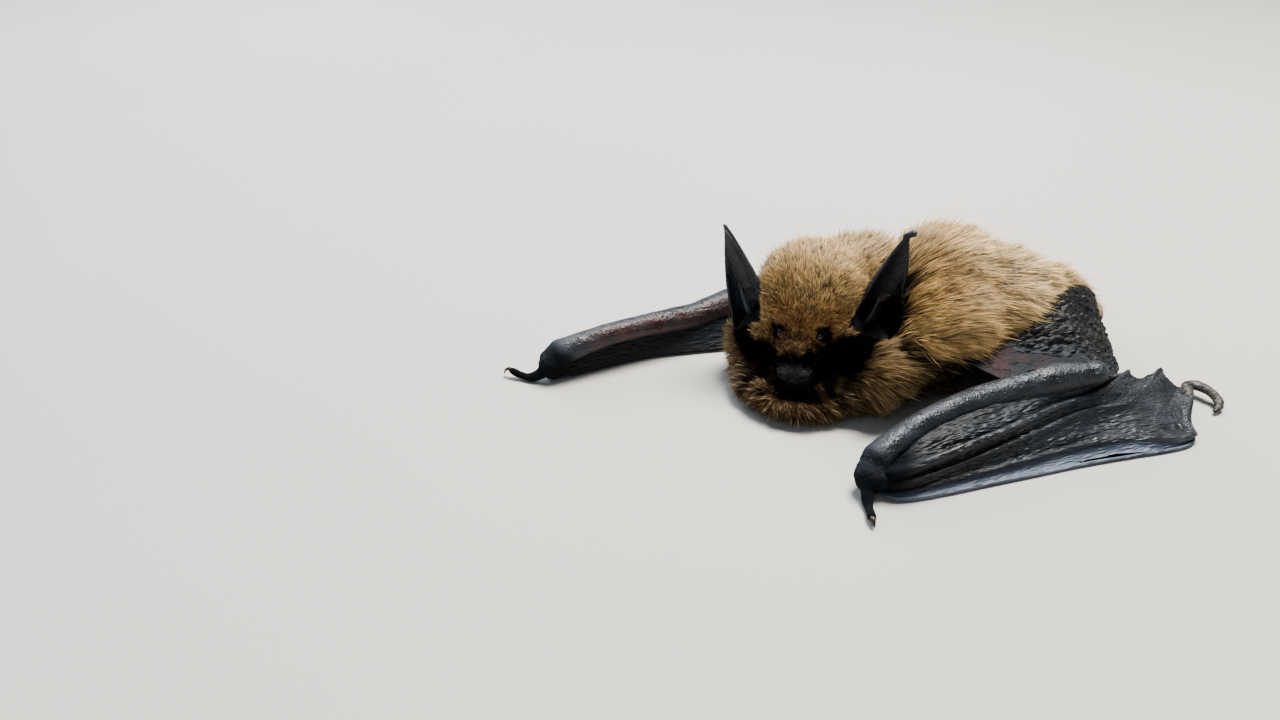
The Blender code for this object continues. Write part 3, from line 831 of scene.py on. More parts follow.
@dataclass(frozen=True)
class GlossFinish:
    """A smooth hard surface, such as an eye or a claw, with a slow change of shade along it."""

    name: str
    dark: Colour
    light: Colour
    roughness: float
    coat: float = 0.0
    coat_roughness: float = 0.03
    clouds_per_metre: float = 1500.0

    def build(self) -> Material:
        """Makes the material and returns it."""
        material, tree, shader = new_material(self.name)
        shader.inputs["Roughness"].default_value = self.roughness
        shader.inputs["Coat Weight"].default_value = self.coat
        shader.inputs["Coat Roughness"].default_value = self.coat_roughness
        cloud_colour(tree, shader, self.clouds_per_metre, self.dark, self.light)
        return material


# ------------------------------------------------------------------ the skin


def melt(objects: list[Piece], name: str, voxel: float, rounds: int) -> Piece:
    """Joins overlapping closed meshes into one surface and softens where they meet.

    Args:
        objects: the meshes.
        name: the name of the result.
        voxel: the size of its faces in millimetres.
        rounds: how often it is smoothed.

    Returns:
        The surface.
    """
    obj = join(objects, name)
    apply(obj, "REMESH", mode="VOXEL", voxel_size=voxel * MM)
    apply(obj, "SMOOTH", factor=0.5, iterations=rounds)
    return obj


@dataclass
class Ear:
    """One ear: a gutter of thin skin that narrows to its tip, and the blade of the tragus in front of it."""

    side: Side
    root: Point = (0.8, 6.0, -2.4)
    tip: Point = (-2.0, 10.2, 8.9)
    opens: float = math.radians(52)
    half_arc: float = 4.3
    wall: float = 0.36

    def frame(self) -> tuple[Array, Array, Array, Array, Array]:
        """Root, tip, and the ways the ear rises, opens and spreads, in head coordinates."""
        flip = np.array((1, self.side.sign, 1))
        root, tip = np.array(self.root) * flip, np.array(self.tip) * flip
        rise = unit(tip - root)
        opens = np.array((math.cos(self.opens), self.side.sign * math.sin(self.opens), 0))
        opens = unit(opens - rise * (opens @ rise))
        return root, tip, rise, opens, np.cross(rise, opens)

    def lean(self) -> float:
        """How far the outer edge reaches beyond the inner one, as a share of half the ear's width."""
        return 0.3 * self.side.sign

    def section(self, up: Array) -> tuple[Array, Array, Array]:
        """Half the width round the gutter, its radius and how far it stands back, at each height."""
        up = np.clip(up, 0, 1)
        half_arc = self.half_arc * np.maximum(1 - up**1.25, 0) ** 0.95 + 0.3 * np.sqrt(1 - 0.98 * up)
        radius = 2.65 - 1.3 * up
        return half_arc, radius, 0.9 * up**2 - radius * 0.8

    def wears(self, h: Array) -> Array:
        """Which points belong to the ear itself.

        Args:
            h: the points in head coordinates.

        Returns:
            True or false for each point.
        """
        root, tip, rise, opens, spread = self.frame()
        away = h - root
        up = away @ rise / np.linalg.norm(tip - root)
        half_arc, radius, lift = self.section(up)
        ahead, aside = away @ opens - lift - radius, away @ spread
        angle = np.arctan2(aside, -ahead) * radius - self.lean() * half_arc
        wall = np.abs(np.hypot(ahead, aside) - radius)
        return (up > 0.0) & (up < 1.1) & (wall < 0.4) & (np.abs(angle) < half_arc + 0.2)

    def stands_behind(self, h: Array) -> Array:
        """Which points hang in front of the ear, where the hair is parted.

        Args:
            h: the points in head coordinates.

        Returns:
            True or false for each point.
        """
        root, tip, rise, _, _ = self.frame()
        forward = unit(np.array((0.71, 0.26 * self.side.sign, 0.65)))
        aside = unit(np.cross(rise, forward))
        axes = np.linalg.inv(np.column_stack([tip - root, aside, forward]))
        up, across, ahead = axes @ (h - root).T
        levels, columns = np.meshgrid(np.linspace(-0.1, 0.99, 40), np.linspace(0, 1, 21), indexing="ij")
        edge = (axes @ (self.shape(columns.ravel(), levels.ravel()) - root).T).reshape(3, *levels.shape)
        height = edge[0].mean(axis=1)
        low, high = np.interp(up, height, edge[1].min(axis=1)), np.interp(up, height, edge[1].max(axis=1))
        depth = ahead - np.interp(up, height, edge[2].mean(axis=1))
        inside = (across > low + 0.15) & (across < high - 0.15) & (up > height[0]) & (up < 1)
        return inside & (depth > -0.6) & (depth < 6.0)

    def shape(self, across: Array, up: Array) -> Array:
        """Points of the ear's middle surface in head coordinates.

        Args:
            across: 0 at one edge and 1 at the other.
            up: 0 at the root and 1 at the tip.

        Returns:
            One row for each pair.
        """
        root, tip, _, opens, spread = self.frame()
        half_arc, radius, lift = self.section(up)
        angle = ((across - 0.5) * 2 + self.lean()) * half_arc / radius
        centre = root + (tip - root) * up[:, None] + opens * lift[:, None]
        curl = opens * (radius * (1 - np.cos(angle)))[:, None] + spread * (radius * np.sin(angle))[:, None]
        return centre + curl

    def grid(self, rows: int = 70, columns: int = 44) -> Array:
        """The middle surface as a grid, with faint cross ridges low in the gutter."""
        up, across = np.meshgrid(np.linspace(-0.12, 1, rows), np.linspace(0, 1, columns), indexing="ij")
        up, across = up.ravel(), across.ravel()
        points = self.shape(across, up)
        ridges = 0.05 * np.sin(up * 46) * eased(0.7, 0.3, up) * np.sin(math.pi * across)
        points += unit(np.array((1, self.side.sign, 0.2))) * ridges[:, None]
        return HEAD.world(points).reshape(rows, columns, 3)

    def tragus(self) -> Piece:
        """The pointed blade that stands in front of the opening."""
        s = self.side.sign
        line = [(2.0, 5.9 * s, -1.6), (2.0, 6.7 * s, 0.2), (1.7, 7.3 * s, 1.8), (1.2, 7.8 * s, 3.2)]
        return limb(HEAD.world(line), 24, ((0, 0.4, 0.8, 1), (0.7, 0.55, 0.3, 0.12)), flat=0.45)

    def build(self) -> list[Piece]:
        """The parts of the ear, ready to be melted into the head. The left one's tip is rolled over."""
        parts = [membrane(f"ear_{self.side}_sheet", self.grid(), self.wall), self.tragus()]
        if self.side is Side.LEFT:
            tip = HEAD.world(self.shape(np.array((0.5,)), np.array((0.985,))))[0]
            over = tip + HEAD.matrix() @ np.array((0.15, 0.55, 0.35))
            path = np.array([tip - (over - tip) * 0.8, tip, over])
            parts.append(tube(path, np.array((0.3, 0.36, 0.42)), sides=16))
        return parts


@dataclass
class Flesh:
    """The skin of trunk, head, arms, legs and tail as one closed surface."""

    forearm_radii: tuple[float, ...] = (1.6, 1.38, 1.36, 1.5, 1.65, 1.75, 1.35)
    wrist_half: Point = (1.65, 1.6, 1.95)
    palm_half: Point = (1.25, 1.5, 1.45)
    cuff_half: Point = (1.65, 1.55, 1.85)
    elbow_half: Point = (1.55, 1.6, 1.35)
    upper_arm_girth: Girth = ((0, 0.5, 1), (1.9, 1.1, 1.2))
    thumb_girth: Girth = ((0, 0.35, 0.6, 0.9, 1), (0.8, 0.62, 0.42, 0.46, 0.36))
    leg_girth: Girth = ((0, 0.3, 0.55, 0.8, 1), (2.2, 1.9, 1.1, 0.7, 0.55))
    tail_girth: Girth = ((0, 0.2, 0.6, 1), (1.1, 0.75, 0.48, 0.26))
    toe_radii: tuple[float, ...] = (0.3, 0.27, 0.26, 0.3, 0.26, 0.24, 0.27, 0.24, 0.2)
    # The first of the head's blobs belong to the skull and cheeks, the others to the muzzle and jaw
    skull_blobs: int = 4
    # Blobs of flesh, each a middle and its half-lengths
    trunk: tuple[tuple[Point, Point], ...] = (
        ((-2.0, 0.0, 10.1), (6.0, 7.2, 6.1)),
        ((0.4, -2.4, 7.4), (7.4, 6.4, 5.8)),
        ((-0.2, 4.5, 7.9), (7.1, 8.2, 6.3)),
        ((-0.2, 12.0, 6.7), (5.2, 7.0, 4.6)),
        ((0.0, 16.4, 6.5), (2.8, 3.2, 2.6)),
        ((-6.2, -8.6, 9.6), (4.6, 5.2, 5.4)),
        ((-1.2, -14.0, 2.6), (6.6, 7.6, 2.2)),
        ((-6.4, -18.8, 5.2), (3.7, 4.2, 4.3)),
        ((-1.6, -17.6, 1.9), (7.0, 6.6, 1.5)),
        ((2.6, -9.8, 4.5), (4.2, 4.4, 3.4)),
        ((3.7, -6.6, 5.7), (3.5, 3.9, 3.3)),
    )
    # The same in head coordinates
    head: tuple[tuple[Point, Point], ...] = (
        ((-0.9, 0.0, 0.1), (5.6, 5.6, 5.2)),
        ((2.4, 0.0, 0.4), (3.5, 3.7, 3.3)),
        ((1.8, 3.6, -2.4), (3.9, 3.3, 3.0)),
        ((1.8, -3.6, -2.4), (3.9, 3.3, 3.0)),
        ((5.2, 0.0, -2.0), (3.5, 2.4, 2.1)),
        ((6.3, 1.5, -2.75), (2.3, 1.25, 1.35)),
        ((6.3, -1.5, -2.75), (2.3, 1.25, 1.35)),
        ((8.0, 0.0, -2.7), (1.45, 1.65, 1.15)),
        ((8.7, 1.05, -2.75), (0.85, 0.85, 0.75)),
        ((8.7, -1.05, -2.75), (0.85, 0.85, 0.75)),
        ((7.5, 0.0, -3.6), (1.85, 2.25, 0.85)),
        ((4.6, 0.0, -4.75), (3.8, 2.2, 1.3)),
        ((7.35, 0.0, -4.75), (1.25, 1.3, 0.7)),
    )

    @staticmethod
    def forearm_rise(count: int) -> Array:
        """How much higher the skin of a forearm lies than its solid, from the wrist to the elbow."""
        return profile(count, (0.7, 0.35, -0.3, -1.1, -0.75, -0.1))

    def limbs(self) -> list[Piece]:
        """Arms with wrist and thumb, legs with feet, and the tail.

        Returns:
            The closed meshes, ready to be melted into the trunk.
        """
        made = []
        for side in Side:
            path = spline(FOREARMS[side], 60)
            path[:, 2] += self.forearm_rise(60)
            made += [self.forearm(side, path), self.upper_arm(side, path[-1])]
            made.append(limb(THUMBS[side], 30, self.thumb_girth))
            made.append(limb(LEGS[side], 40, self.leg_girth))
            made += self.foot(side)
        made.append(limb(TAIL, 80, self.tail_girth))
        return made

    def forearm(self, side: Side, path: Array) -> Piece:
        """A forearm with its wrist and elbow, softened where they meet.

        Args:
            side: which arm.
            path: the forearm's middle, from the wrist to the elbow.

        Returns:
            The arm as one closed mesh.
        """
        wrist = np.array(WRISTS[side])
        palm = wrist + (0.55 * side.sign, 1.0, -0.35)
        cuff = wrist + unit(path[5] - path[0]) * 0.9 - (0, 0, 0.1)
        elbow = path[-1] + (0, 0, 0.1)
        arm = [tube(path, profile(len(path), self.forearm_radii), sides=20)]
        halves = (self.wrist_half, self.palm_half, self.cuff_half, self.elbow_half)
        arm += [ball(middle, half) for middle, half in zip((wrist, palm, cuff, elbow), halves)]
        return melt(arm, f"arm_{side}", 0.24, 12)

    def upper_arm(self, side: Side, elbow: Array) -> Piece:
        """An upper arm that hangs a little between the shoulder and the elbow."""
        shoulder = np.array(SHOULDERS[side])
        middle = shoulder * 0.45 + elbow * 0.55 - (0, 0, 1.1)
        return limb(np.array((shoulder, middle, elbow)), 30, self.upper_arm_girth, sides=20)

    def foot(self, side: Side) -> list[Piece]:
        """A sole and five toes with a knuckle each.

        Args:
            side: which foot.

        Returns:
            The closed meshes.
        """
        ankle, forward, across = foot_axes(side)
        steps = ((0, 0), (0.8, -0.45), (1.8, -0.6), (2.6, -0.62))
        sole = np.array([ankle + forward * reach + (0, 0, drop) for reach, drop in steps])
        made = [tube(sole, np.array((0.6, 0.62, 0.75, 0.62)), sides=16, flat=0.75)]
        shares = np.linspace(0, 1, len(self.toe_radii))
        for i in range(-2, 3):
            spread = across * i * 0.34
            root = ankle + forward * 2.2 + spread + (0, 0, TOE_DROP)
            toe = forward * (2.9 - TOE_SHORTENING * abs(i)) + across * i * 0.28
            arch = [(0, 0, 0.22 * math.sin(math.pi * share)) for share in shares]
            path = np.array([root + toe * share + rise for share, rise in zip(shares, arch)])
            made.append(tube(path, np.array(self.toe_radii), sides=10))
        return made

    def build(self) -> Piece:
        """Melts the parts together, sculpts the face and thins the hidden stretches.

        Returns:
            The skin as one closed mesh, painted with its markings.
        """
        deselect()
        axes = HEAD.matrix()
        head = [(HEAD.world(middle)[0], half) for middle, half in self.head]
        core = [ball(np.array(middle), half) for middle, half in self.trunk]
        core += [ball(middle, half, axes) for middle, half in head[: self.skull_blobs]]
        body = melt(core, "body", 0.5, 22)
        face = [ball(middle, half, axes) for middle, half in head[self.skull_blobs :]]
        face += [ball(eye_centre(side) - eye_outward(side) * 0.75, (1.25, 1.25, 1.25)) for side in Side]
        body = melt([body, *face], "body", 0.22, 7)
        skin = melt([body, *self.limbs(), *self.ears()], "skin", SKIN_VOXEL, 4)
        self.sculpt(skin)
        self.thin(skin)
        skin.data.shade_smooth()
        points = points_of(skin)
        paint(skin, self.markings(points, normals_of(skin)), self.gloss(points))
        return skin

    def gloss(self, points: Array) -> Array:
        """How shiny the skin is at each point: less so on the face, the nose, the wrists and the thumbs."""
        nose = nose_share(points)
        dull = mask_share(points) * (1 - nose)
        knob = nearest(points, list(WRISTS.values()))
        thumb = np.minimum(*[distance_to_line(points, spline(line, 20))[0] for line in THUMBS.values()])
        matt = np.maximum(eased(3.6, 2.2, knob), eased(1.0, 0.6, thumb))
        return (1 - 0.55 * dull - 0.3 * nose) * (1 - 0.6 * matt)

    def ears(self) -> list[Piece]:
        """Both ears with their traguses."""
        return [part for side in Side for part in Ear(side).build()]

    def sculpt(self, skin: Piece) -> None:
        """Raises and sinks the skin along its normals, for the face, the eyes and the bare limbs.

        Args:
            skin: the melted skin, whose vertices are moved.
        """
        points, normals = points_of(skin), normals_of(skin)
        h = HEAD.local(points)
        push = self.face_relief(h)
        push += mask_share(points) * 0.018 * fractal(h * (0.6, 1.3, 1.6), 0.55, 11)
        for side in Side:
            eye, outward = eye_centre(side), eye_outward(side)
            away = distance(points, eye)
            ahead = (points - eye) @ outward
            push += 0.1 * bell(away - 0.8, 0.18) * (ahead > -0.5)
            push -= np.where((away < 0.58) & (ahead > -0.35), 0.5, 0.0)
        push += self.limb_relief(points)
        place_points(skin, points + normals * push[:, None])

    @staticmethod
    def face_relief(h: Array) -> Array:
        """Nostrils with their rims, lip glands, the mouth line and the groove along the nose.

        Args:
            h: the skin's vertices in head coordinates.

        Returns:
            How far each moves outwards.
        """
        push = np.zeros(len(h))
        for s in (1, -1):
            nostril = distance(h, (9.4, 1.15 * s, -2.85), (1, 1, 0.8))
            push -= 0.55 * bell(nostril, 0.34)
            push += 0.12 * bell(nostril - 0.55, 0.2)
            gland = distance(h, (6.4, 2.3 * s, -2.5), (1.5, 1, 1))
            push += 0.16 * bell(gland, 1.0)
            lips = ((8.9, 0.0, -3.75), (7.6, 1.45 * s, -3.95), (5.9, 2.35 * s, -4.0), (4.2, 2.9 * s, -3.75))
            mouth, _ = distance_to_line(h, np.array(lips))
            push -= 0.34 * bell(mouth, 0.22)
            push += 0.07 * bell(mouth - 0.5, 0.2)
        ridge = ((9.6, 0, -3.4), (9.5, 0, -2.2), (8.6, 0, -1.6), (7.2, 0, -1.1))
        groove, _ = distance_to_line(h, np.array(ridge))
        push -= 0.16 * bell(groove, 0.25)
        return push

    def limb_relief(self, points: Array) -> Array:
        """Long wrinkles, tendons and small bumps on the bare arms.

        Args:
            points: the skin's vertices.

        Returns:
            How far each moves outwards.
        """
        push = np.zeros(len(points))
        for side in Side:
            away, along = distance_to_line(points, spline(FOREARMS[side], 40))
            near = eased(2.6, 1.9, away)
            crossing = np.column_stack([points[:, 0], along * 12.0, points[:, 2] * 1.6])
            push += near * (0.035 * fractal(crossing, 0.55, 21) + 0.015 * noise(points, 0.4, 23))
            knob = distance(points, WRISTS[side])
            push += eased(3.0, 1.8, knob) * 0.07 * fractal(points, 0.6, 25)
        return push

    def thin(self, skin: Piece) -> None:
        """Thins the skin to its share of triangles, mostly under the trunk's fur.

        Args:
            skin: the melted skin, which loses triangles.
        """
        points = points_of(skin)
        covered = eased(0.3, 1.2, -self.bare_distance(points)) * (1 - head_share(points))
        group = skin.vertex_groups.new(name="covered")
        levels = np.round(covered * 10).astype(int)
        for level in range(1, 11):
            group.add(np.nonzero(levels == level)[0].tolist(), level / 10, "REPLACE")
        triangles = sum(len(p.vertices) - 2 for p in skin.data.polygons)
        ratio = min(1.0, SKIN_TRIANGLES / triangles)
        apply(skin, "DECIMATE", ratio=ratio, vertex_group="covered", vertex_group_factor=0.6)
        skin.vertex_groups.clear()

    def bare_distance(self, points: Array) -> Array:
        """How far outside the trunk's and head's own flesh each point is, roughly, in millimetres."""
        best = np.full(len(points), 1e9)
        for place, blobs in ((points, self.trunk), (HEAD.local(points), self.head)):
            for middle, half in blobs:
                best = np.minimum(best, (distance(place, middle, half) - 1) * min(half))
        return best

    def markings(self, points: Array, normals: Array) -> Array:
        """The skin's colour, with painted shade on the wrist knobs and the thumbs.

        Args:
            points: the skin's vertices.
            normals: its normals there.

        Returns:
            A colour for each vertex.
        """
        colours = np.tile(Tone.ARM_SKIN.array() * 1.8, (len(points), 1))
        furred = eased(0.5, 0.1, self.bare_distance(points))
        colours = mixed(colours, Tone.UNDER_FUR, furred)
        colours = mixed(colours, Tone.BLACK_SKIN, mask_share(points))
        for side in Side:
            away, along = distance_to_line(points, spline(FOREARMS[side], 40))
            near = eased(2.6, 1.9, away) * (1 - furred)
            inner = eased(-0.1, 0.7, -normals[:, 0] * side.sign) * FOREARM_REDNESS[side]
            patch = 0.6 + 0.4 * noise(points, 1.6, 31)
            red = near * inner * patch * eased(0.02, 0.3, along)
            colours = mixed(colours, Tone.RED_SKIN, red)
            # Painted shade: each wrist knob is darkened on its sides that face away from the sky, and the
            # thumbs are darkened too
            knob = distance(points, WRISTS[side])
            shade = eased(3.4, 1.8, knob) * eased(0.5, -0.5, normals[:, 2] - 0.3)
            thumb, _ = distance_to_line(points, spline(THUMBS[side], 20))
            shade = np.maximum(shade, eased(1.0, 0.6, thumb))
            colours = colours * (1 - 0.75 * shade)[:, None]
        return colours


def eye_centre(side: Side) -> Array:
    """The middle of an eye, from the frame."""
    low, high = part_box(f"eye_{side}")
    centre = np.array((low + high) / 2) / MM
    forward = ((centre - HEAD.centre) @ HEAD.matrix())[0]
    return centre - HEAD.matrix()[:, 1] * HEAD.muzzle_turn * forward


def eye_outward(side: Side) -> Array:
    """The way an eye looks: forward, outward and a little up."""
    return unit(HEAD.matrix() @ np.array((0.75, 0.6 * side.sign, 0.25)))


def foot_axes(side: Side) -> tuple[Array, Array, Array]:
    """The ankle, and the ways that a foot points and spreads over the floor."""
    ankle, aim = np.array(LEGS[side][-1]), np.array(TOE_AIMS[side])
    forward = unit(np.array((*(aim - ankle[:2]), 0.0)))
    return ankle, forward, np.array((-forward[1], forward[0], 0.0))


# ------------------------------------------------------------------ wings


def thick_sheet(name: str, grid: Array, half: Array, side: int) -> Piece:
    """A closed skin over a grid, whose thickness changes from point to point.

    Args:
        name: the object's name.
        grid: the points of its middle, as rows, columns and coordinates.
        half: half the thickness at each point.
        side: 1 where rows cross columns towards the outside, -1 where they cross the other way.

    Returns:
        The object, kept above the floor.
    """
    rows, columns = grid.shape[:2]
    normal = grid_normals(grid) * side
    outer = (grid + normal * half[..., None]).reshape(-1, 3)
    inner = (grid - normal * half[..., None]).reshape(-1, 3)
    points = np.vstack([outer, inner])
    points[:, 2] = np.maximum(points[:, 2], FLOOR_CLEARANCE)
    quads = grid_faces(rows, columns)
    count = rows * columns
    index = np.arange(count).reshape(rows, columns)
    rim = np.concatenate([index[0, :-1], index[:-1, -1], index[-1, :0:-1], index[:0:-1, 0]])
    after = np.roll(rim, -1)
    edge = np.column_stack([rim, rim + count, after + count, after])
    faces = np.vstack([quads, quads[:, ::-1] + count, edge])
    if side < 0:
        faces = faces[:, ::-1]
    return mesh_object(name, points, faces)


def grid_normals(grid: Array) -> Array:
    """The normals of a grid of points, turned by the order of its rows and columns."""
    return unit(np.cross(np.gradient(grid, axis=0), np.gradient(grid, axis=1)))


def loft(first: Array, last: Array, columns: int, sag: float) -> Array:
    """A grid between two rails, hanging a little between them."""
    share = np.linspace(0, 1, columns)
    grid = first[:, None, :] * (1 - share)[None, :, None] + last[:, None, :] * share[None, :, None]
    span = np.linalg.norm(last - first, axis=1)
    grid[..., 2] -= sag * span[:, None] * (4 * share * (1 - share))[None, :]
    return grid


def pleats(run: Array, across: Array, seed: int) -> Array:
    """The fine folds of a relaxed membrane, drawn out along its bones, from about -1 to 1.

    Args:
        run: how far along the bones each point is, in millimetres.
        across: how far across them it is, in millimetres.
        seed: which folds they are.

    Returns:
        The height of the folds at each point.
    """
    sway = 0.5 * noise(np.column_stack([run / 3.2, across / 1.6, run * 0]), 1.0, seed + 9)
    fine = np.column_stack([run / 1.5, (across + 0.3 * sway) / 0.26, run * 0])
    broad = np.column_stack([run / 5.0, (across + sway) / 0.85, run * 0])
    crest = 1 - np.abs(noise(fine, 1.0, seed)) * 2
    waves = 0.55 * crest + 0.45 * noise(fine, 0.55, seed + 3)
    return waves + 0.9 * noise(broad, 1.0, seed + 5)


@dataclass
class Wing:
    """One folded wing: finger bones, the membranes between them and the curled tip."""

    side: Side
    rows: int
    columns: tuple[int, ...] = (30, 24, 30, 14)
    flank: tuple[Line, Line] = ((), ())
    fore: tuple[Line, Line] = ((), ())
    tail: Line = ()
    wall: float = 0.09
    bones: tuple[float, ...] = (0.0, 0.42, 0.4, 0.36, 0.1)
    sags: tuple[float, ...] = (0.0, 0.14, 0.09, 0.16)
    folds: tuple[float, ...] = (0.14, 0.15, 0.13, 0.07)
    red: float = 0.0
    crumple: float = 0.28
    bone_width: float = 0.42
    panel_width: float = 4.2
    notch: float = 0.16
    tip_girth: Girth = ((0, 0.15, 0.35, 0.8, 1), (0.5, 0.62, 0.64, 0.52, 0.28))

    def rails(self) -> list[Array]:
        """The forearm's underside and fingers five to two, from the wrist out."""
        arm = spline(FOREARMS[self.side], self.rows) + np.array((0.95 * self.side.sign, 0.0, -0.05))
        under_wrist = 0.5 * eased(0.3, 0.0, np.linspace(0, 1, self.rows))
        arm[:, 2] += Flesh.forearm_rise(self.rows) - under_wrist
        x, y, _ = WRISTS[self.side]
        fingers = [FINGERS[self.side][k] for k in (5, 4, 3, 2)]
        return [arm] + [spline(((x, y, 0.6 + 0.6 * line[0][2]), *line[1:]), self.rows) for line in fingers]

    def hand(self) -> Piece:
        """The membrane from the forearm to the second finger, with the bones raised in it.

        Returns:
            The hand as one closed mesh, painted.
        """
        rails = self.rails()
        along = np.linspace(0, 1, self.rows)
        grids, across, bulge, depth = [], [], [], []
        for k, columns in enumerate(self.columns):
            first, last = rails[k], rails[k + 1]
            share = np.linspace(0, 1, columns)
            grid = loft(first, last, columns, self.sags[k])
            if k == 0:
                grid = self.swollen(grid, share)
            span = np.linalg.norm(last - first, axis=1)[:, None]
            grid = self.notched(grid, share, span)
            near, far = span * share, span * (1 - share)
            thick = self.bones[k] * bell(near, self.bone_width)
            thick = thick + self.bones[k + 1] * bell(far, self.bone_width)
            calm = np.minimum(eased(0.15, 0.8, near), eased(0.15, 0.8, far))
            keep = slice(None) if k == len(self.columns) - 1 else slice(None, -1)
            grids.append(grid[:, keep])
            place = k * self.panel_width + share * self.panel_width
            across.append(np.broadcast_to(place, grid.shape[:2])[:, keep])
            bulge.append(thick[:, keep])
            depth.append((calm * self.folds[k])[:, keep])
        grid = np.concatenate(grids, axis=1)
        run = np.cumsum(np.linalg.norm(np.diff(grid, axis=0, prepend=grid[:1]), axis=2), axis=0)
        rise = pleats(run.ravel(), np.concatenate(across, axis=1).ravel(), 41).reshape(run.shape)
        normal = grid_normals(grid) * -self.side.sign
        grid = grid + normal * (rise * np.concatenate(depth, axis=1))[..., None]
        taper = eased(-0.01, 0.12, along)[:, None]
        half = self.wall + np.concatenate(bulge, axis=1) * np.linspace(1.1, 0.62, self.rows)[:, None] * taper
        obj = thick_sheet(f"hand_{self.side}", grid, half, -self.side.sign)
        points = points_of(obj)
        paint(obj, self.hand_markings(points), self.hand_gloss(points))
        return obj

    def notched(self, grid: Array, share: Array, span: Array) -> Array:
        """Draws the membrane's free edge back between two fingers.

        Args:
            grid: the panel's points.
            share: how far across the panel each column is.
            span: how wide the panel is at each row.

        Returns:
            The panel with its notch.
        """
        toward_edge = eased(0.8, 1.0, np.linspace(0, 1, self.rows))[:, None]
        notch = (4 * share * (1 - share))[None, :] * toward_edge
        back = grid - np.roll(grid, 1, axis=0)
        back[0] = 0
        return grid - unit(back) * notch[..., None] * span[..., None] * self.notch

    def swollen(self, grid: Array, share: Array) -> Array:
        """Lets the membrane bulge beside the forearm and dip beside the fifth finger."""
        reach = eased(0.02, 0.3, np.linspace(0, 1, self.rows))[:, None]
        rise = 0.7 * np.sin(math.pi * share) * (1 - 0.8 * share) - 0.3 * bell(share - 0.9, 0.1)
        outward = np.array((0.62 * self.side.sign, -0.1, 0.55))
        return grid + (reach * rise[None, :])[..., None] * outward

    def hand_markings(self, points: Array) -> Array:
        """Blue-black, a little browner towards the outer end, with a painted pale bluish sheen along the edge
        on the floor.
        """
        start, end = points[:, 1].min(), points[:, 1].max()
        along = (points[:, 1] - start) / (end - start)
        brown = 0.35 * eased(0.55, 1.0, along) * (0.5 + 0.5 * noise(points, 1.4, 3))
        colours = np.tile(Tone.ARM_SKIN.array(), (len(points), 1))
        colours = colours * (0.8 + 1.1 * eased(0.2, 0.6, along))[:, None]
        colours = mixed(colours, Tone.TIP_SKIN, brown)
        # Painted reflection: a pale bluish sheen along the membrane's edge that lies on the floor
        colours = mixed(colours, Tone.EDGE_SHEEN, 0.75 * eased(1.05, 0.55, points[:, 2]))
        return colours * (1 + 0.22 * noise(points, 2.2, 8))[:, None]

    def hand_gloss(self, points: Array) -> Array:
        """Dull near the wrist and in the hollow beside the forearm, satin farther out."""
        knob = distance(points, WRISTS[self.side])
        arm, _ = distance_to_line(points, spline(FOREARMS[self.side], 40))
        return 1.1 - 0.55 * eased(7.0, 2.0, knob) - 0.3 * eased(4.6, 2.2, arm)

    def crumpled(
        self, name: str, rails: tuple[Line, Line], size: tuple[int, int], sag: float, relief: float
    ) -> Piece:
        """A slack membrane covered in small bumps.

        Args:
            name: the object's name.
            rails: the lines that it hangs between.
            size: how many points it has along them and across.
            sag: how deep it hangs, as a share of its width.
            relief: the height of the bumps in millimetres.

        Returns:
            The object.
        """
        rows, columns = size
        grid = loft(spline(rails[0], rows), spline(rails[1], rows), columns, sag)
        flat = grid.reshape(-1, 3)
        normal = grid_normals(grid).reshape(-1, 3)
        drawn = flat * (1.15, 0.55, 1.15)
        bumps = np.abs(noise(drawn, 0.55, 51)) * 1.6 + 0.35 * noise(drawn, 0.28, 52)
        swell = 0.9 * noise(flat * (1, 0.8, 1), 2.0, 53)
        outward = np.sign((normal * (self.side.sign, 0, 0.6)).sum(axis=1).mean())
        edge = np.minimum.outer(*[np.minimum(np.arange(n), np.arange(n)[::-1]) for n in size])
        calm = eased(-1.0, 7.0, edge.ravel())
        flat = flat + normal * (outward * relief * calm * (bumps + swell - 0.6))[:, None]
        return thick_sheet(name, flat.reshape(grid.shape), np.full(size, self.wall), int(outward))

    def webs(self) -> list[Piece]:
        """The membranes along the flank, in front of the arm and beside the tail.

        Returns:
            Three closed meshes, painted.
        """
        flank = self.crumpled(f"flank_{self.side}", self.flank, (150, 84), 0.03, self.crumple)
        points = points_of(flank)
        dark = np.tile(Tone.FLANK_SKIN.array(), (len(points), 1))
        outer, _ = distance_to_line(points, spline(self.flank[1], 30))
        paint(flank, mixed(dark, Tone.ARM_SKIN, eased(4.0, 0.5, outer)), 0.8)
        fore = self.crumpled(f"fore_{self.side}", self.fore, (110, 44), 0.02, 0.11)
        points = points_of(fore)
        middle = eased(-2.5, -0.5, points[:, 1]) * eased(6.5, 2.5, points[:, 1])
        tint = self.red * middle * (0.5 + 0.7 * noise(points, 1.1, 61))
        plain = np.tile(Tone.ARM_SKIN.array(), (len(points), 1))
        paint(fore, mixed(plain, Tone.RED_SKIN, tint), 0.65)
        part = TAIL[:5] if self.side is Side.LEFT else TAIL
        tail = self.crumpled(f"tail_{self.side}", (part, self.tail), (80, 40), 0.05, 0.08)
        paint(tail, np.tile(Tone.ARM_SKIN.array(), (len(tail.data.vertices), 1)))
        return [flank, fore, tail]

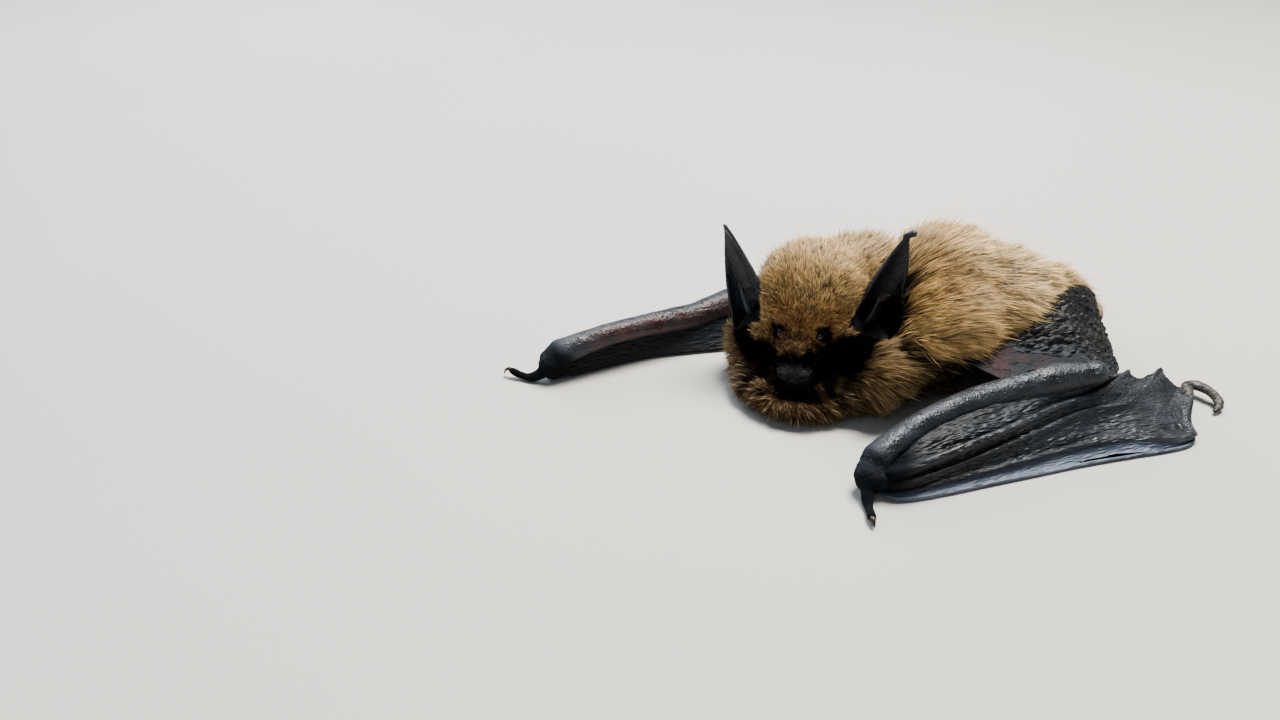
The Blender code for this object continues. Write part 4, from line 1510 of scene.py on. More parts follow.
    def tip(self) -> Piece:
        """The curled end of the third finger, wrapped in membrane.

        Returns:
            A closed mesh, painted.
        """
        obj = limb(WING_TIPS[self.side], 60, self.tip_girth, name=f"tip_{self.side}", sides=20, flat=0.8)
        points, normals = points_of(obj), normals_of(obj)
        rings = points * (2.2, 2.2, 1.0)
        points = points + normals * (0.06 * fractal(rings, 0.8, 71))[:, None]
        points[:, 2] = np.maximum(points[:, 2], FLOOR_CLEARANCE)
        place_points(obj, points)
        shade = 1 + 0.3 * noise(points, 0.6, 72)
        paint(obj, np.tile(Tone.TIP_SKIN.array(), (len(points), 1)) * shade[:, None])
        return obj

    def build(self) -> Piece:
        """The whole wing as one piece."""
        wing = join([self.hand(), *self.webs(), self.tip()], f"wing_{self.side}")
        wing.data.shade_smooth()
        return wing


WINGS = (
    Wing(
        Side.LEFT, 250,
        flank=(
            (
                (8.4, 2.0, 8.4), (7.9, 5.8, 10.8), (6.4, 8.6, 12.2), (4.8, 12.4, 12.0), (3.6, 15.4, 11.2),
                (2.6, 17.8, 9.6),
            ),
            (
                (9.9, 2.4, 8.4), (12.2, 7.0, 8.0), (14.2, 10.6, 6.4), (12.4, 13.6, 4.8), (9.4, 17.4, 3.2),
                (6.4, 19.4, 2.4),
            ),
        ),
        fore=(
            ((7.4, -3.6, 7.6), (8.0, 3.0, 8.7), (10.6, 9.0, 8.3)),
            ((13.0, -1.2, 7.2), (13.1, 3.2, 7.9), (13.8, 9.2, 7.9)),
        ),
        tail=((3.0, 18.0, 6.6), (3.6, 19.6, 3.8), (2.6, 21.0, 1.6), (0.6, 22.8, 0.6), (-3.4, 23.4, 0.4)),
        red=0.55,
    ),
    Wing(
        Side.RIGHT, 170, (22, 18, 18, 10),
        flank=(
            ((-9.6, -4.6, 7.8), (-9.8, 1.4, 8.2), (-8.8, 8.0, 8.2), (-7.0, 13.2, 9.0), (-4.2, 17.8, 9.0)),
            (
                (-18.6, -12.6, 5.4), (-19.4, -4.6, 2.4), (-17.0, 4.6, 1.2), (-13.4, 13.2, 0.9),
                (-8.8, 21.0, 2.4),
            ),
        ),
        fore=(
            (
                (-12.9, -41.4, 0.4), (-13.6, -37.8, 0.4), (-14.4, -31.4, 0.4), (-14.0, -25.6, 0.4),
                (-13.0, -18.4, 0.4),
            ),
            (
                (-14.0, -41.6, 2.8), (-14.5, -37.6, 3.9), (-15.5, -31.2, 4.6), (-16.4, -25.2, 5.1),
                (-17.6, -18.4, 5.6),
            ),
        ),
        tail=(
            (-4.4, 18.0, 6.6), (-8.0, 21.6, 3.6), (-9.4, 23.4, 2.0), (-12.0, 23.6, 1.7), (-15.0, 21.4, 1.0),
        ),
        crumple=0.17,
    ),
)


# ------------------------------------------------------------------ eyes and claws


def build_eye(side: Side) -> Piece:
    """A small black eye that looks forward and outward."""
    bpy.ops.mesh.primitive_uv_sphere_add(segments=40, ring_count=24, radius=EYE_RADIUS * MM)
    eye = bpy.context.object
    eye.name = f"eyeball_{side}"
    place_points(eye, points_of(eye) + eye_centre(side) + 0.12 * eye_outward(side))
    eye.data.shade_smooth()
    return eye


def build_claw(name: str, path: Array, radius: float) -> Piece:
    """A curved claw that narrows to a point."""
    radii = radius * profile(len(path), (1, 0.85, 0.45, 0.12), (0, 0.4, 0.8, 1))
    claw = tube(path, radii, name, 14, 0.8)
    claw.data.shade_smooth()
    return claw


def toe_claws(side: Side) -> Piece:
    """The claws of one foot.

    Args:
        side: which foot.

    Returns:
        The five claws as one piece.
    """
    ankle, forward, across = foot_axes(side)
    share = np.linspace(0, 1, 12)[:, None]
    rise = np.array((0, 0, 1.0)) * (0.34 * np.sin(share * 2.6) - 0.18 * share)
    claws = []
    for i in range(-2, 3):
        root = ankle + forward * (5.0 - TOE_SHORTENING * abs(i)) + across * i * 0.6 + (0, 0, TOE_DROP)
        path = root + forward * 1.25 * share + rise
        claws.append(build_claw(f"toe_claw_{side}_{i + 3}", path, 0.19))
    return join(claws, f"toe_claws_{side}")


# ------------------------------------------------------------------ the coat


# Hair lengths: along the trunk from the neck to the tail, and along the head from its back to the muzzle
TRUNK_HAIR_LENGTHS = ((-22, -14, -4, 8, 12, 16, 20), (2.9, 3.4, 4.4, 4.5, 3.6, 2.6, 2.0))
CROWN_HAIR_LENGTHS = ((-4, 0, 3, 5, 7), (3.0, 2.5, 1.9, 1.4, 0.9))
# Hair widths by length
HAIR_WIDTHS = ((0.4, 1.2, 3.0, 5.0), (0.035, 0.05, 0.065, 0.075))
# The height, from front to back, below which the left flank is bare skin under its web
UNDER_WEB_LINE = (
    (-3.4, -1.2, 1.9, 4.2, 6.1, 8.6, 13.8, 17.0),
    (7.6, 8.6, 9.4, 10.4, 11.8, 12.5, 11.8, 10.9),
)
# The shaded hollow between the chest and the left forearm
ARMPIT: Line = ((9.6, -13.0, 1.2), (9.2, -9.0, 3.2), (9.2, -5.6, 5.6), (9.4, -1.6, 6.6))


@dataclass(frozen=True)
class Surface:
    """The skin's triangles as arrays."""

    corners: Array
    areas: Array
    middles: Array
    corner_normals: Array

    @classmethod
    def of(cls, skin: Piece) -> "Surface":
        """Reads the triangles of a mesh.

        Args:
            skin: the mesh object.

        Returns:
            Its triangles.
        """
        mesh = skin.data
        mesh.calc_loop_triangles()
        index = np.empty(len(mesh.loop_triangles) * 3, np.int32)
        mesh.loop_triangles.foreach_get("vertices", index)
        index = index.reshape(-1, 3)
        corners = points_of(skin)[index]
        cross = np.cross(corners[:, 1] - corners[:, 0], corners[:, 2] - corners[:, 0])
        areas = np.linalg.norm(cross, axis=1) / 2
        return cls(corners, areas, corners.mean(axis=1), normals_of(skin)[index])

    def sample(self, weight: Array, count: int, rng: np.random.Generator) -> tuple[Array, Array]:
        """Random places, more of them where the weight is higher.

        Args:
            weight: how many places each triangle should have, relative to the others.
            count: how many places.
            rng: the source of chance.

        Returns:
            The places and the skin's normals there.
        """
        share = weight / weight.sum()
        chosen = np.repeat(np.arange(len(share)), rng.multinomial(count, share))
        a, b = rng.random(len(chosen)), rng.random(len(chosen))
        over = a + b > 1
        a[over], b[over] = 1 - a[over], 1 - b[over]
        mix = np.column_stack([1 - a - b, a, b])[:, :, None]
        return (self.corners[chosen] * mix).sum(axis=1), unit((self.corner_normals[chosen] * mix).sum(axis=1))


@dataclass
class Hairs:
    """What is known of each hair of a coat piece, one row each."""

    roots: Array
    normals: Array
    lengths: Array
    flow: Array
    lift: Array
    stray: Array
    width: Array
    root_colour: Array
    tip_colour: Array


class Growth(Enum):
    """The stretches of skin whose hair is grown together."""

    BACK = "back"
    FLANK = "flank"
    BELLY = "belly"
    CROWN = "crown"
    THROAT = "throat"
    MASK = "mask"


@dataclass(frozen=True)
class CoatPiece:
    """One piece of the coat: where it grows and how many hairs it has."""

    name: str
    hairs: int
    seed: int
    growth: Growth


def near_head(points: Array) -> Array:
    """1 over the head, neck and throat, where the hair lies away from the nose, 0 behind them."""
    return np.maximum(head_share(points), eased(-7.0, -12.5, points[:, 1] + 0.25 * points[:, 0]))


def coat_length(points: Array) -> Array:
    """How long the hair is.

    Args:
        points: the roots.

    Returns:
        A length in millimetres for each root.
    """
    h = HEAD.local(points)
    head = head_share(points)
    mask = mask_share(points)
    trunk = np.interp(points[:, 1], *TRUNK_HAIR_LENGTHS)
    trunk = trunk * (1 - 0.35 * eased(4.5, 1.5, points[:, 2]))
    crown = np.interp(h[:, 0], *CROWN_HAIR_LENGTHS)
    crown = crown + eased(-3.2, -5.6, h[:, 2]) * eased(8.0, 5.0, h[:, 0])
    beside_ear = np.maximum(*[bell(distance(h, (0.2, 6.4 * s, -1.0)), 3.4) for s in (1, -1)])
    hollow, _ = distance_to_line(points, np.array(ARMPIT))
    length = (trunk * (1 - head) + crown * head) * (1 - 0.55 * beside_ear)
    length = length * (1 - 0.72 * eased(4.2, 2.6, hollow))
    muzzle = eased(5.0, 8.2, h[:, 0]) * eased(-5.0, -4.4, h[:, 2])
    dark = 1.15 - 0.65 * muzzle + 0.5 * eased(-4.0, -5.4, h[:, 2])
    return length * (1 - mask) + np.minimum(dark, length) * mask


def coat_flow(points: Array, normals: Array) -> Array:
    """The way the hair lies: from the nose back over the head, and from the shoulders to the tail.

    Args:
        points: the roots.
        normals: the skin's normals there.

    Returns:
        A direction along the skin for each root.
    """
    h = HEAD.local(points)
    head = near_head(points)
    axes = HEAD.matrix()
    from_nose = h - (8.6, 0, -2.6)
    radial = unit(from_nose) @ axes.T + (0, 0, -0.25)
    side = np.sign(points[:, 0] + 1.0) * eased(0.5, 4.0, np.abs(points[:, 0] + 1.0))
    slope = eased(11.0, 5.0, points[:, 2])
    toward_tail = np.column_stack([0.3 * side, np.ones(len(points)), -0.25 - 0.4 * slope])
    flow = toward_tail * (1 - head)[:, None] + radial * head[:, None]
    flow = flow - normals * (flow * normals).sum(axis=1)[:, None]
    return unit(flow)


def coat_colours(points: Array, rng: np.random.Generator) -> tuple[Array, Array]:
    """The colours of each hair at its root and at its tip.

    Args:
        points: the roots.
        rng: the source of chance.

    Returns:
        Root colours and tip colours.
    """
    count = len(points)
    h = HEAD.local(points)
    head = head_share(points)
    patch = noise(points, 3.0, 81)
    pale = eased(-8, 6, points[:, 1]) * 0.75 + eased(12, 17, points[:, 2]) * 0.2
    pale = np.clip(np.clip(pale, 0, 1) * (1 - head) + 0.16 * head + 0.25 * patch, 0, 1)
    tip = mixed(Tone.GOLD.array(), Tone.CREAM, pale)
    low = eased(8.0, 4.0, points[:, 2]) * eased(8, 0, points[:, 1])
    tip = mixed(tip, Tone.TAN, np.clip(low * 0.85, 0, 1))
    # Painted shade: the hair low on the left front of the chest is darkened
    neck = eased(-3.0, -8.0, points[:, 1]) * eased(9.0, 7.0, points[:, 2])
    neck = neck * eased(2.0, 5.0, points[:, 0])
    tip = tip * (1 - 0.45 * neck)[:, None]
    # Painted shade: the hair in the hollow between the chest and the left forearm is darkened
    away, _ = distance_to_line(points, np.array(ARMPIT))
    tip = mixed(tip, Tone.ARMPIT_SHADE, 0.95 * eased(4.2, 2.8, away))
    brow = head * eased(1.5, 4.0, h[:, 0]) * eased(3.8, 1.4, h[:, 2])
    brow = brow * eased(4.6, 2.8, np.abs(h[:, 1]))
    tip = mixed(tip, Tone.ORANGE, 0.75 * brow)
    root = mixed(np.tile(Tone.HAIR_ROOT.array(), (count, 1)), Tone.HALF_TAN, 0.35 * pale)
    mask = mask_share(points)
    border = mask_border(points, h, head * (1 - mask))
    # Painted shade: the hair low on the throat and under the chin is darkened
    shaded = eased(-3.4, -5.6, h[:, 2]) * eased(0.0, 3.0, h[:, 0])
    shaded = shaded * eased(11.0, 6.0, h[:, 1])
    tip = mixed(tip, Tone.CHIN_SHADE, 0.8 * shaded)
    dark = 0.55 * border + 0.35 * (rng.random(count) < 0.5 * border)
    tip = mixed(tip, Tone.MASK_HAIR, np.maximum(mask, dark))
    root = mixed(root, Tone.MASK_HAIR, np.maximum(mask, border))
    crown = head * (1 - mask)
    speckle = eased(0.15, 0.75, noise(points, 1.1, 83)) * (0.25 + 0.55 * crown)
    dark = np.maximum(speckle * rng.random(count) * 1.3, (rng.random(count) < 0.07 + 0.1 * crown) * 0.8)
    tip = mixed(tip, Tone.DARK_HAIR, np.clip(dark, 0, 1) * (1 - mask))
    return root, tip * np.exp(rng.normal(0, 0.26, count))[:, None]


def mask_border(points: Array, h: Array, furred: Array) -> Array:
    """How much black mask shows between the golden hairs along its lower border.

    Args:
        points: the roots.
        h: the same in head coordinates.
        furred: how much each belongs to the golden part of the head.

    Returns:
        One share for each root.
    """
    inward = unit(HEAD.world((7.0, 0.0, -3.4)) - points)
    border = (mask_share(points + inward * 1.1) + mask_share(points + inward * 2.3)) / 2 * furred
    return border * eased(0.5, -1.0, h[:, 2])


@dataclass
class Coat:
    """The fur: ribbons of three segments that rise from the skin and lie back along it."""

    surface: Surface
    share: float = 1.0
    shares: tuple[float, ...] = (0.0, 0.38, 0.72, 1.0)
    widths: tuple[float, ...] = (0.9, 1.0, 0.7, 0.0)
    locks: tuple[tuple[float, float, int], ...] = ((0.85, 0.55, 101), (0.36, 0.4, 111))

    def weight(self, growth: Growth) -> Array:
        """How thickly the skin is covered by one growth of hair.

        Args:
            growth: which stretch of the coat.

        Returns:
            A weight for each triangle of the skin.
        """
        at = self.surface.middles
        height = at[:, 2]
        head_height = HEAD.local(at)[:, 2]
        head, mask = head_share(at), mask_share(at)
        bare = self.bareness(at)
        trunk, golden_head = (1 - head) * (1 - bare), head * (1 - mask) * (1 - bare)
        if growth is Growth.BACK:
            cover = trunk * eased(7.2, 8.2, height)
        elif growth is Growth.FLANK:
            cover = trunk * eased(8.2, 7.2, height) * eased(1.2, 2.2, height)
        elif growth is Growth.BELLY:
            cover = trunk * eased(2.2, 1.2, height) * 0.3
        elif growth is Growth.CROWN:
            cover = golden_head * eased(-2.4, -1.6, head_height)
        elif growth is Growth.THROAT:
            cover = golden_head * eased(-1.6, -2.4, head_height)
        else:
            cover = mask * (1 - bare) * (1 - nose_share(at))
        return cover * self.surface.areas

    def bareness(self, at: Array) -> Array:
        """Where no hair grows.

        Args:
            at: places on the skin.

        Returns:
            1 on the limbs, the ears, the lids and under the left web, 0 where hair grows.
        """
        bare = eased(0.45, 0.9, Flesh().bare_distance(at))
        line = np.interp(at[:, 1], *UNDER_WEB_LINE)
        under_web = eased(0.2, -0.4, at[:, 2] - line) * (at[:, 0] > 1.5)
        under_web = under_web * eased(-3.8, -3.0, at[:, 1]) * eased(17.2, 15.6, at[:, 1])
        bare = np.maximum(bare, under_web)
        h = HEAD.local(at)
        for side in Side:
            bare = np.maximum(bare, Ear(side).wears(h))
            lids = np.linalg.norm(at - eye_centre(side) - eye_outward(side) * 0.4, axis=1)
            bare = np.maximum(bare, eased(0.7, 0.5, lids))
        return bare

    def grow(self, piece: CoatPiece, obstacles: BVHTree) -> Piece:
        """Grows one piece of the coat.

        Args:
            piece: where it grows and how many hairs it has.
            obstacles: the bare skin and wings, which no hair passes through.

        Returns:
            The piece.
        """
        rng = np.random.default_rng(piece.seed)
        hairs = self.hairs(piece, rng)
        path = self.kept_clear(self.paths(hairs, rng), obstacles)
        for side in Side:
            ear = Ear(side)
            before = ear.stands_behind(HEAD.local(path.reshape(-1, 3))).reshape(path.shape[:2]).any(axis=1)
            path[before] = path[before, :1] + (path[before] - path[before, :1]) * 0.25
            dark = ear.stands_behind(HEAD.local(hairs.roots))
            hairs.tip_colour[dark] = hairs.root_colour[dark] = Tone.MASK_HAIR.array()
        return self.ribbons(piece, hairs, path, rng)

    def hairs(self, piece: CoatPiece, rng: np.random.Generator) -> Hairs:
        """Chooses the roots of a piece's hairs and how each one grows.

        Args:
            piece: where it grows and how many hairs it has.
            rng: the source of chance.

        Returns:
            What is known of each hair.
        """
        count = int(piece.hairs * self.share)
        roots, normals = self.surface.sample(self.weight(piece.growth), count, rng)
        head = head_share(roots)
        mask = mask_share(roots)
        lengths = coat_length(roots) * np.exp(rng.normal(0, 0.16, count))
        flow = coat_flow(roots, normals)
        crown = head * (1 - mask)
        guard = rng.random(count) < 0.08 * (1 - mask)
        lengths = lengths * np.where(guard, 1.25, 1.0)
        ruff = near_head(roots) * (1 - head) * (1 - mask)
        clump = noise(roots, 1.5, 91)[:, None] * np.cross(normals, flow)
        clump = clump + 0.6 * noise(roots, 0.6, 92)[:, None] * np.cross(normals, flow)
        tousle = (0.45 + 0.7 * crown)[:, None]
        flow = unit(flow + tousle * clump + rng.normal(0, 0.15, (count, 3)) * (1 + 1.6 * crown)[:, None])
        lift = 19 + 15 * crown + 16 * ruff + (9 + 10 * crown) * noise(roots, 1.0, 93)
        lift = lift + rng.normal(0, 5, count) * (1 + crown)
        lift = np.radians(np.where(mask > 0.5, 22, np.clip(lift, 6, 75)))
        root_colour, tip_colour = coat_colours(roots, rng)
        tip_colour = tip_colour * np.exp(0.3 * noise(roots, 0.55, 95))[:, None]
        width = np.interp(lengths, *HAIR_WIDTHS) * rng.uniform(0.7, 1.25, count) * np.where(guard, 1.4, 1.0)
        stray = rng.normal(0, 1, (count, 3)) * ((0.12 + 0.42 * crown) * np.where(guard, 1.7, 1.0))[:, None]
        tip_colour = mixed(tip_colour, Tone.GUARD_HAIR, guard * (0.2 + 0.3 * crown))
        return Hairs(roots, normals, lengths, flow, lift, stray, width, root_colour, tip_colour)

    def paths(self, hairs: Hairs, rng: np.random.Generator) -> Array:
        """The curves of the hairs, which start a little under the skin.

        Args:
            hairs: what is known of each hair.
            rng: the source of chance.

        Returns:
            Four points for each hair, from its root to its tip.
        """
        lift = hairs.lift[:, None]
        start = unit(hairs.flow * np.cos(lift * 1.5) + hairs.normals * np.sin(lift * 1.5))
        end = unit(hairs.flow * np.cos(lift * 0.35) + hairs.normals * np.sin(lift * 0.35) + hairs.stray)
        rows = []
        for share in self.shares:
            reach = share * start + 0.5 * share**2 * (end - start)
            rows.append(hairs.roots + hairs.lengths[:, None] * reach)
        path = np.stack(rows, axis=1)
        path -= (hairs.normals * np.minimum(0.12, 0.1 * hairs.lengths)[:, None])[:, None, :]
        path = self.clumped(hairs, path)
        path[..., 2] = np.maximum(path[..., 2], FLOOR_CLEARANCE + 0.02 * rng.random(path.shape[:2]))
        return path

    def clumped(self, hairs: Hairs, path: Array) -> Array:
        """Draws the tips of neighbouring hairs together into small locks.

        Args:
            hairs: what is known of each hair.
            path: the four points of each hair.

        Returns:
            The moved points.
        """
        count = len(path)
        spread = np.random.default_rng(8).uniform(0.3, 1.25, count)[:, None, None]
        for size, pull, seed in self.locks:
            wander = np.column_stack([noise(hairs.roots, 0.9, seed + k) for k in range(3)])
            cell = np.floor((hairs.roots + 0.45 * size * wander) / size).astype(np.int64)
            _, index = np.unique(cell @ HASH_KEY, return_inverse=True)
            members = np.bincount(index)
            middle = np.stack([np.bincount(index, path[:, i, k]) for i in range(4) for k in range(3)], axis=1)
            toward = (middle / members[:, None]).reshape(-1, 4, 3)[index] - path
            path = path + toward * (pull * np.array(self.shares) ** 1.4)[None, :, None] * spread
        return path

    @staticmethod
    def kept_clear(path: Array, obstacles: BVHTree) -> Array:
        """Shortens the hairs that would pass through bare skin or a wing.

        Args:
            path: the four points of each hair.
            obstacles: the bare skin and the wings.

        Returns:
            The same array, with those hairs drawn in.
        """
        for k in range(len(path)):
            root, tip = Vector(path[k, 0]), Vector(path[k, 3])
            run = tip - root
            hit = obstacles.ray_cast(root, run, run.length)
            if hit[0] is not None:
                path[k] = path[k, 0] + (path[k] - path[k, 0]) * (0.9 * hit[3] / run.length)
        return path

    def ribbons(
        self, piece: CoatPiece, hairs: Hairs, path: Array, rng: np.random.Generator
    ) -> Piece:
        """Turns the paths into thin ribbons with colours, normals and bake patches.

        Args:
            piece: the piece that they make.
            hairs: what is known of each hair.
            path: the four points of each hair.
            rng: the source of chance.

        Returns:
            The piece, with two corners at each point of a hair and one at its tip.
        """
        count = len(path)
        along = unit(np.gradient(path, axis=1))
        roll = rng.uniform(-0.8, 0.8, count)[:, None, None]
        flat = unit(np.cross(along, hairs.normals[:, None, :]))
        rise = np.cross(flat, along)
        across = flat * np.cos(roll) + rise * np.sin(roll)
        half = hairs.width[:, None, None] / 2 * np.array(self.widths)[None, :, None]
        left, right = path + across * half, path - across * half
        pairs = [edge[:, k] for k in range(3) for edge in (left, right)]
        points = np.stack([*pairs, path[:, 3]], axis=1)
        points[..., 2] = np.maximum(points[..., 2], FLOOR_CLEARANCE)
        pattern = np.array(((0, 3, 1), (0, 2, 3), (2, 5, 3), (2, 4, 5), (4, 6, 5)))
        faces = (np.arange(count)[:, None, None] * 7 + pattern[None]).reshape(-1, 3)
        obj = fast_mesh(piece.name, points.reshape(-1, 3), faces)
        of_corner = np.array((0, 0, 1, 1, 2, 2, 3))
        level = np.array(self.shares)[of_corner]
        tone = eased(0.18, 0.85, level)[None, :, None]
        colours = hairs.root_colour[:, None, :] * (1 - tone) + hairs.tip_colour[:, None, :] * tone
        colours = colours.reshape(-1, 3)
        paint(obj, colours, eased(0.0, 0.12, colours.mean(axis=1)))
        facing = unit(hairs.normals[:, None, :] * 0.75 + rise * 0.45)[:, of_corner].reshape(-1, 3)
        obj.data.normals_split_custom_set_from_vertices(unit(facing).astype(np.float32))
        self.bake_map(obj, hairs.roots, piece, level)
        return obj

    @staticmethod
    def bake_map(obj: Piece, roots: Array, piece: CoatPiece, level: Array) -> None:
        """A small patch for each ribbon at its root's place on an unwrap of the skin.

        Args:
            obj: the piece.
            roots: the roots of its hairs.
            piece: where it grows.
            level: how far along a hair each of its corners is.
        """
        if piece.growth in (Growth.CROWN, Growth.THROAT, Growth.MASK):
            h = HEAD.local(roots) - (0.5, 0, -1.5)
            u = 0.5 + np.arctan2(h[:, 1], h[:, 2]) / (2 * math.pi)
            v = 0.5 + np.arctan2(h[:, 0], np.linalg.norm(h[:, 1:], axis=1)) / math.pi
        else:
            u = 0.5 + np.arctan2(roots[:, 0] + 1.0, roots[:, 2] - 6.0) / (2 * math.pi)
            v = (roots[:, 1] + 26.0) / 52.0
        place = np.clip(np.column_stack([u, v]), 0.004, 0.996)
        aside = np.array((-1, 1, -0.9, 0.9, -0.6, 0.6, 0.0)) * 0.5
        patch = np.column_stack([aside, level - 0.5]) * BAKE_PATCH
        uv = (place[:, None, :] + patch[None]).reshape(-1, 2)
        layer = obj.data.uv_layers.new(name="OFBake")
        index = np.empty(len(obj.data.loops), np.int32)
        obj.data.loops.foreach_get("vertex_index", index)
        layer.data.foreach_set("uv", uv[index].astype(np.float32).ravel())


def obstacle_tree(coat: Coat, wings: list[Piece]) -> BVHTree:
    """The bare parts of the skin and the wings, as obstacles for the hair."""
    bare = coat.bareness(coat.surface.middles) > 0.95
    corners = [coat.surface.corners[bare]] + [Surface.of(wing).corners for wing in wings]
    points = [Vector(p) for p in np.vstack(corners).reshape(-1, 3)]
    return BVHTree.FromPolygons(points, [(k, k + 1, k + 2) for k in range(0, len(points), 3)])


def fast_mesh(name: str, points: Array, faces: Array) -> Piece:
    """A mesh object of triangles from large arrays.

    Args:
        name: its name.
        points: its vertices in millimetres.
        faces: three corners for each triangle.

    Returns:
        The object, at the origin and shaded smooth.
    """
    mesh = bpy.data.meshes.new(name)
    mesh.vertices.add(len(points))
    mesh.vertices.foreach_set("co", (points * MM).astype(np.float32).ravel())
    mesh.loops.add(faces.size)
    mesh.loops.foreach_set("vertex_index", faces.astype(np.int32).ravel())
    mesh.polygons.add(len(faces))
    mesh.polygons.foreach_set("loop_start", np.arange(0, faces.size, 3, dtype=np.int32))
    mesh.update(calc_edges=True)
    mesh.validate()
    obj = bpy.data.objects.new(name, mesh)
    bpy.context.scene.collection.objects.link(obj)
    mesh.shade_smooth()
    return obj


COAT_PIECES = (
    CoatPiece("coat_back_1", 37_000, 1, Growth.BACK),
    CoatPiece("coat_back_2", 37_000, 2, Growth.BACK),
    CoatPiece("coat_flank_1", 37_000, 3, Growth.FLANK),
    CoatPiece("coat_flank_2", 37_000, 4, Growth.FLANK),
    CoatPiece("coat_belly", 12_000, 5, Growth.BELLY),
    CoatPiece("coat_crown_1", 34_000, 6, Growth.CROWN),
    CoatPiece("coat_crown_2", 34_000, 7, Growth.CROWN),
    CoatPiece("coat_throat", 37_000, 8, Growth.THROAT),
    CoatPiece("coat_face", 22_000, 9, Growth.MASK),
)


# ------------------------------------------------------------------ the studio


@dataclass(frozen=True)
class SoftLight:
    """A square soft light that faces a point."""

    name: str
    place: Point
    side: float
    power: float
    colour: Colour = (1.0, 1.0, 1.0)

    def build(self, target: Vector) -> None:
        """Adds the light, aimed at a point in metres."""
        bpy.ops.object.light_add(type="AREA", location=self.place)
        lamp = bpy.context.object
        lamp.name = self.name
        lamp.data.size = self.side
        lamp.data.energy = self.power
        lamp.data.color = self.colour
        lamp.rotation_euler = (target - lamp.location).to_track_quat("-Z", "Y").to_euler()


@dataclass(frozen=True)
class Studio:
    """A plain pale floor, soft lights and one camera."""

    camera_place: Point = (0.0858, -0.0647, 0.0610)
    view: Point = (-0.8236, 0.2676, -0.5)
    lens: float = 28.125
    lights: tuple[SoftLight, ...] = (
        SoftLight("key_light", (-0.08, 0.10, 0.42), 0.2, 4.5, (1.0, 0.985, 0.96)),
        SoftLight("front_light", (0.30, -0.30, 0.30), 0.30, 0.4, (0.85, 0.93, 1.0)),
        SoftLight("rim_light", (-0.32, -0.10, 0.20), 0.22, 1.0, (0.8, 0.9, 1.0)),
    )
    world: Colour = (0.62, 0.72, 0.86)
    world_strength: float = 0.2

    def floor(self) -> None:
        """A wide matt floor under the animal."""
        bpy.ops.mesh.primitive_plane_add(size=1.6, location=(0, 0, 0))
        floor = bpy.context.object
        floor.name = "studio_floor"
        material, tree, shader = new_material("studio_floor_paint")
        shader.inputs["Roughness"].default_value = 0.85
        cloud_colour(tree, shader, 9.0, (0.50, 0.475, 0.435), (0.56, 0.535, 0.495))
        floor.data.materials.append(material)
        floor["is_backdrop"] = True

    def camera(self) -> None:
        """One camera that looks down at the animal from in front of its left wing."""
        bpy.ops.object.camera_add(location=self.camera_place)
        camera = bpy.context.object
        camera.name = "main_camera"
        camera.rotation_euler = Vector(self.view).to_track_quat("-Z", "Y").to_euler()
        camera.data.lens = self.lens
        camera.data.sensor_width = 36.0
        camera.data.clip_start = 0.005
        bpy.context.scene.camera = camera

    def build(self) -> None:
        """Floor, lights, world and camera."""
        self.floor()
        for light in self.lights:
            light.build(Vector((0.0, -0.005, 0.008)))
        world = bpy.data.worlds.new("studio_world")
        world.use_nodes = True
        background = world.node_tree.nodes["Background"]
        background.inputs["Color"].default_value = (*self.world, 1)
        background.inputs["Strength"].default_value = self.world_strength
        bpy.context.scene.world = world
        bpy.context.scene.view_settings.view_transform = "AgX"
        bpy.context.scene.view_settings.look = "AgX - Medium High Contrast"
        self.camera()


# ------------------------------------------------------------------ the model


def announce(obj: Piece) -> None:
    """Logs the name and size of a finished piece."""
    low, high = points_of(obj).min(axis=0), points_of(obj).max(axis=0)
    triangles = sum(len(p.vertices) - 2 for p in obj.data.polygons)
    LOG.info("%s: %d triangles, %s to %s mm", obj.name, triangles, low.round(1), high.round(1))


def finish_piece(obj: Piece, material: Material, slot: str, *replaced: str) -> None:
    """Dresses a piece, lets it ride on the body and hides the solids that it stands for."""
    obj.data.materials.clear()
    obj.data.materials.append(material)
    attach(obj, "root")
    if replaced:
        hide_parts(*replaced)
    announce(obj)


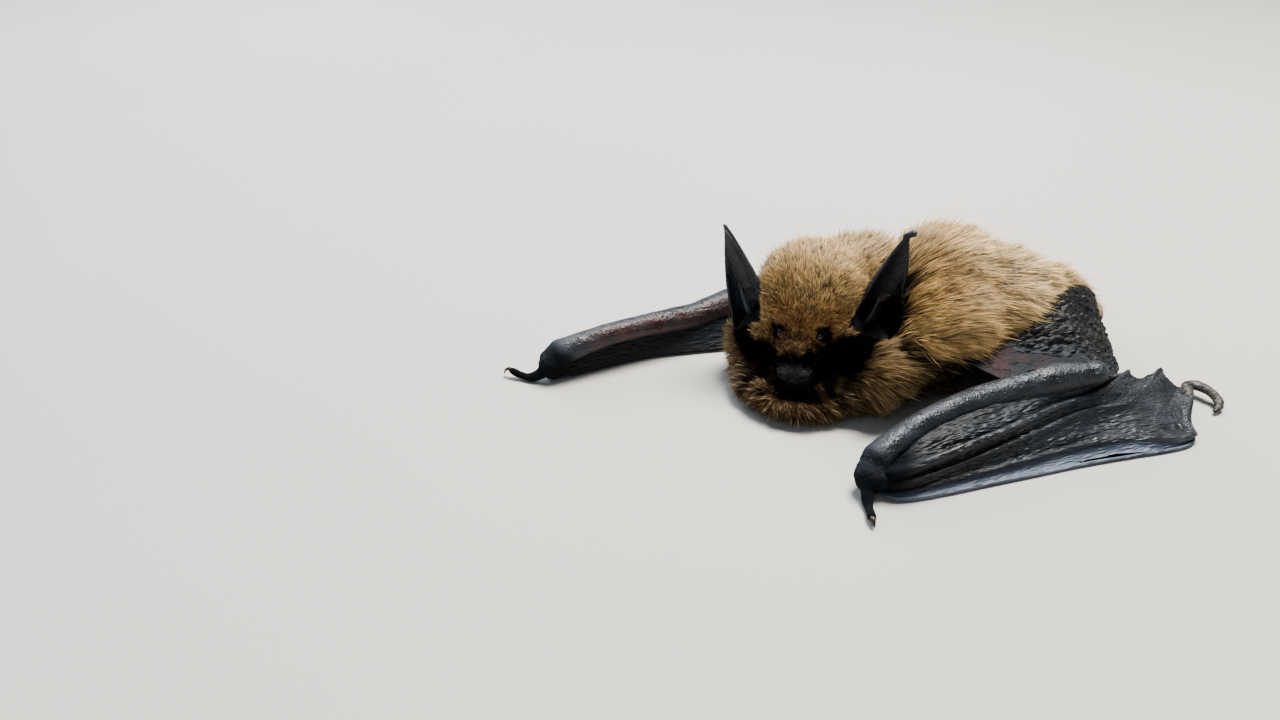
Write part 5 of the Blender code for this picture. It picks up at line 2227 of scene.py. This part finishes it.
def still_shown(name: str) -> bool:
    """Whether no piece stands for a solid of the frame yet."""
    return not bpy.data.objects[name].hide_render


def build_sides(nodes: list[str], grain: Tree) -> None:
    """Makes both wings, both eyes and all claws.

    Args:
        nodes: the names of the frame's solids.
        grain: the shared skin grain group.
    """
    wing_finish = SkinFinish("wing_membrane", 3600.0, 0.15, 0.24, (0.36, 0.56), 0.5, (1.0, 0.16, 1.0))
    wing_skin = wing_finish.build(grain)
    horn = GlossFinish("claw_horn", (0.012, 0.009, 0.007), (0.06, 0.04, 0.025), 0.32).build()
    eye_gloss = GlossFinish("black_eye", (0.002, 0.0018, 0.0016), (0.006, 0.004, 0.003), 0.1, 0.7).build()
    for wing in WINGS:
        stems = ("finger", "wing_tip", "hand_web", "flank_web", "fore_web", "tail_web")
        solids = [name for name in nodes if name.startswith(stems) and name.endswith(f"_{wing.side}")]
        finish_piece(wing.build(), wing_skin, "wing_skin", *solids)
        finish_piece(build_eye(wing.side), eye_gloss, "eye", f"eye_{wing.side}")
        claw = build_claw(f"thumb_nail_{wing.side}", spline(THUMB_CLAWS[wing.side], 24), 0.3)
        finish_piece(claw, horn, "claw", f"thumb_claw_{wing.side}")
        finish_piece(toe_claws(wing.side), horn, "claw")


def main() -> Box:
    """Builds the animal and the studio.

    Returns:
        The box of the frame's solids, as it was before any piece was made.
    """
    logging.basicConfig(level=logging.INFO, format="%(name)s %(message)s")
    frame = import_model()
    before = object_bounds()
    nodes = list(frame["nodes"])
    grain = crinkle_group()
    body_skin = SkinFinish("body_skin").build(grain)
    build_sides(nodes, grain)
    skin = Flesh().build()
    finish_piece(skin, body_skin, "arm_skin", *filter(still_shown, nodes))
    coat_finish = CoatFinish().build()
    coat = Coat(Surface.of(skin), 1.0)
    obstacles = obstacle_tree(coat, [bpy.data.objects[f"wing_{wing.side}"] for wing in WINGS])
    for piece in COAT_PIECES:
        finish_piece(coat.grow(piece, obstacles), coat_finish, "back_fur")
    Studio().build()
    return before


if __name__ == "__main__":
    main()
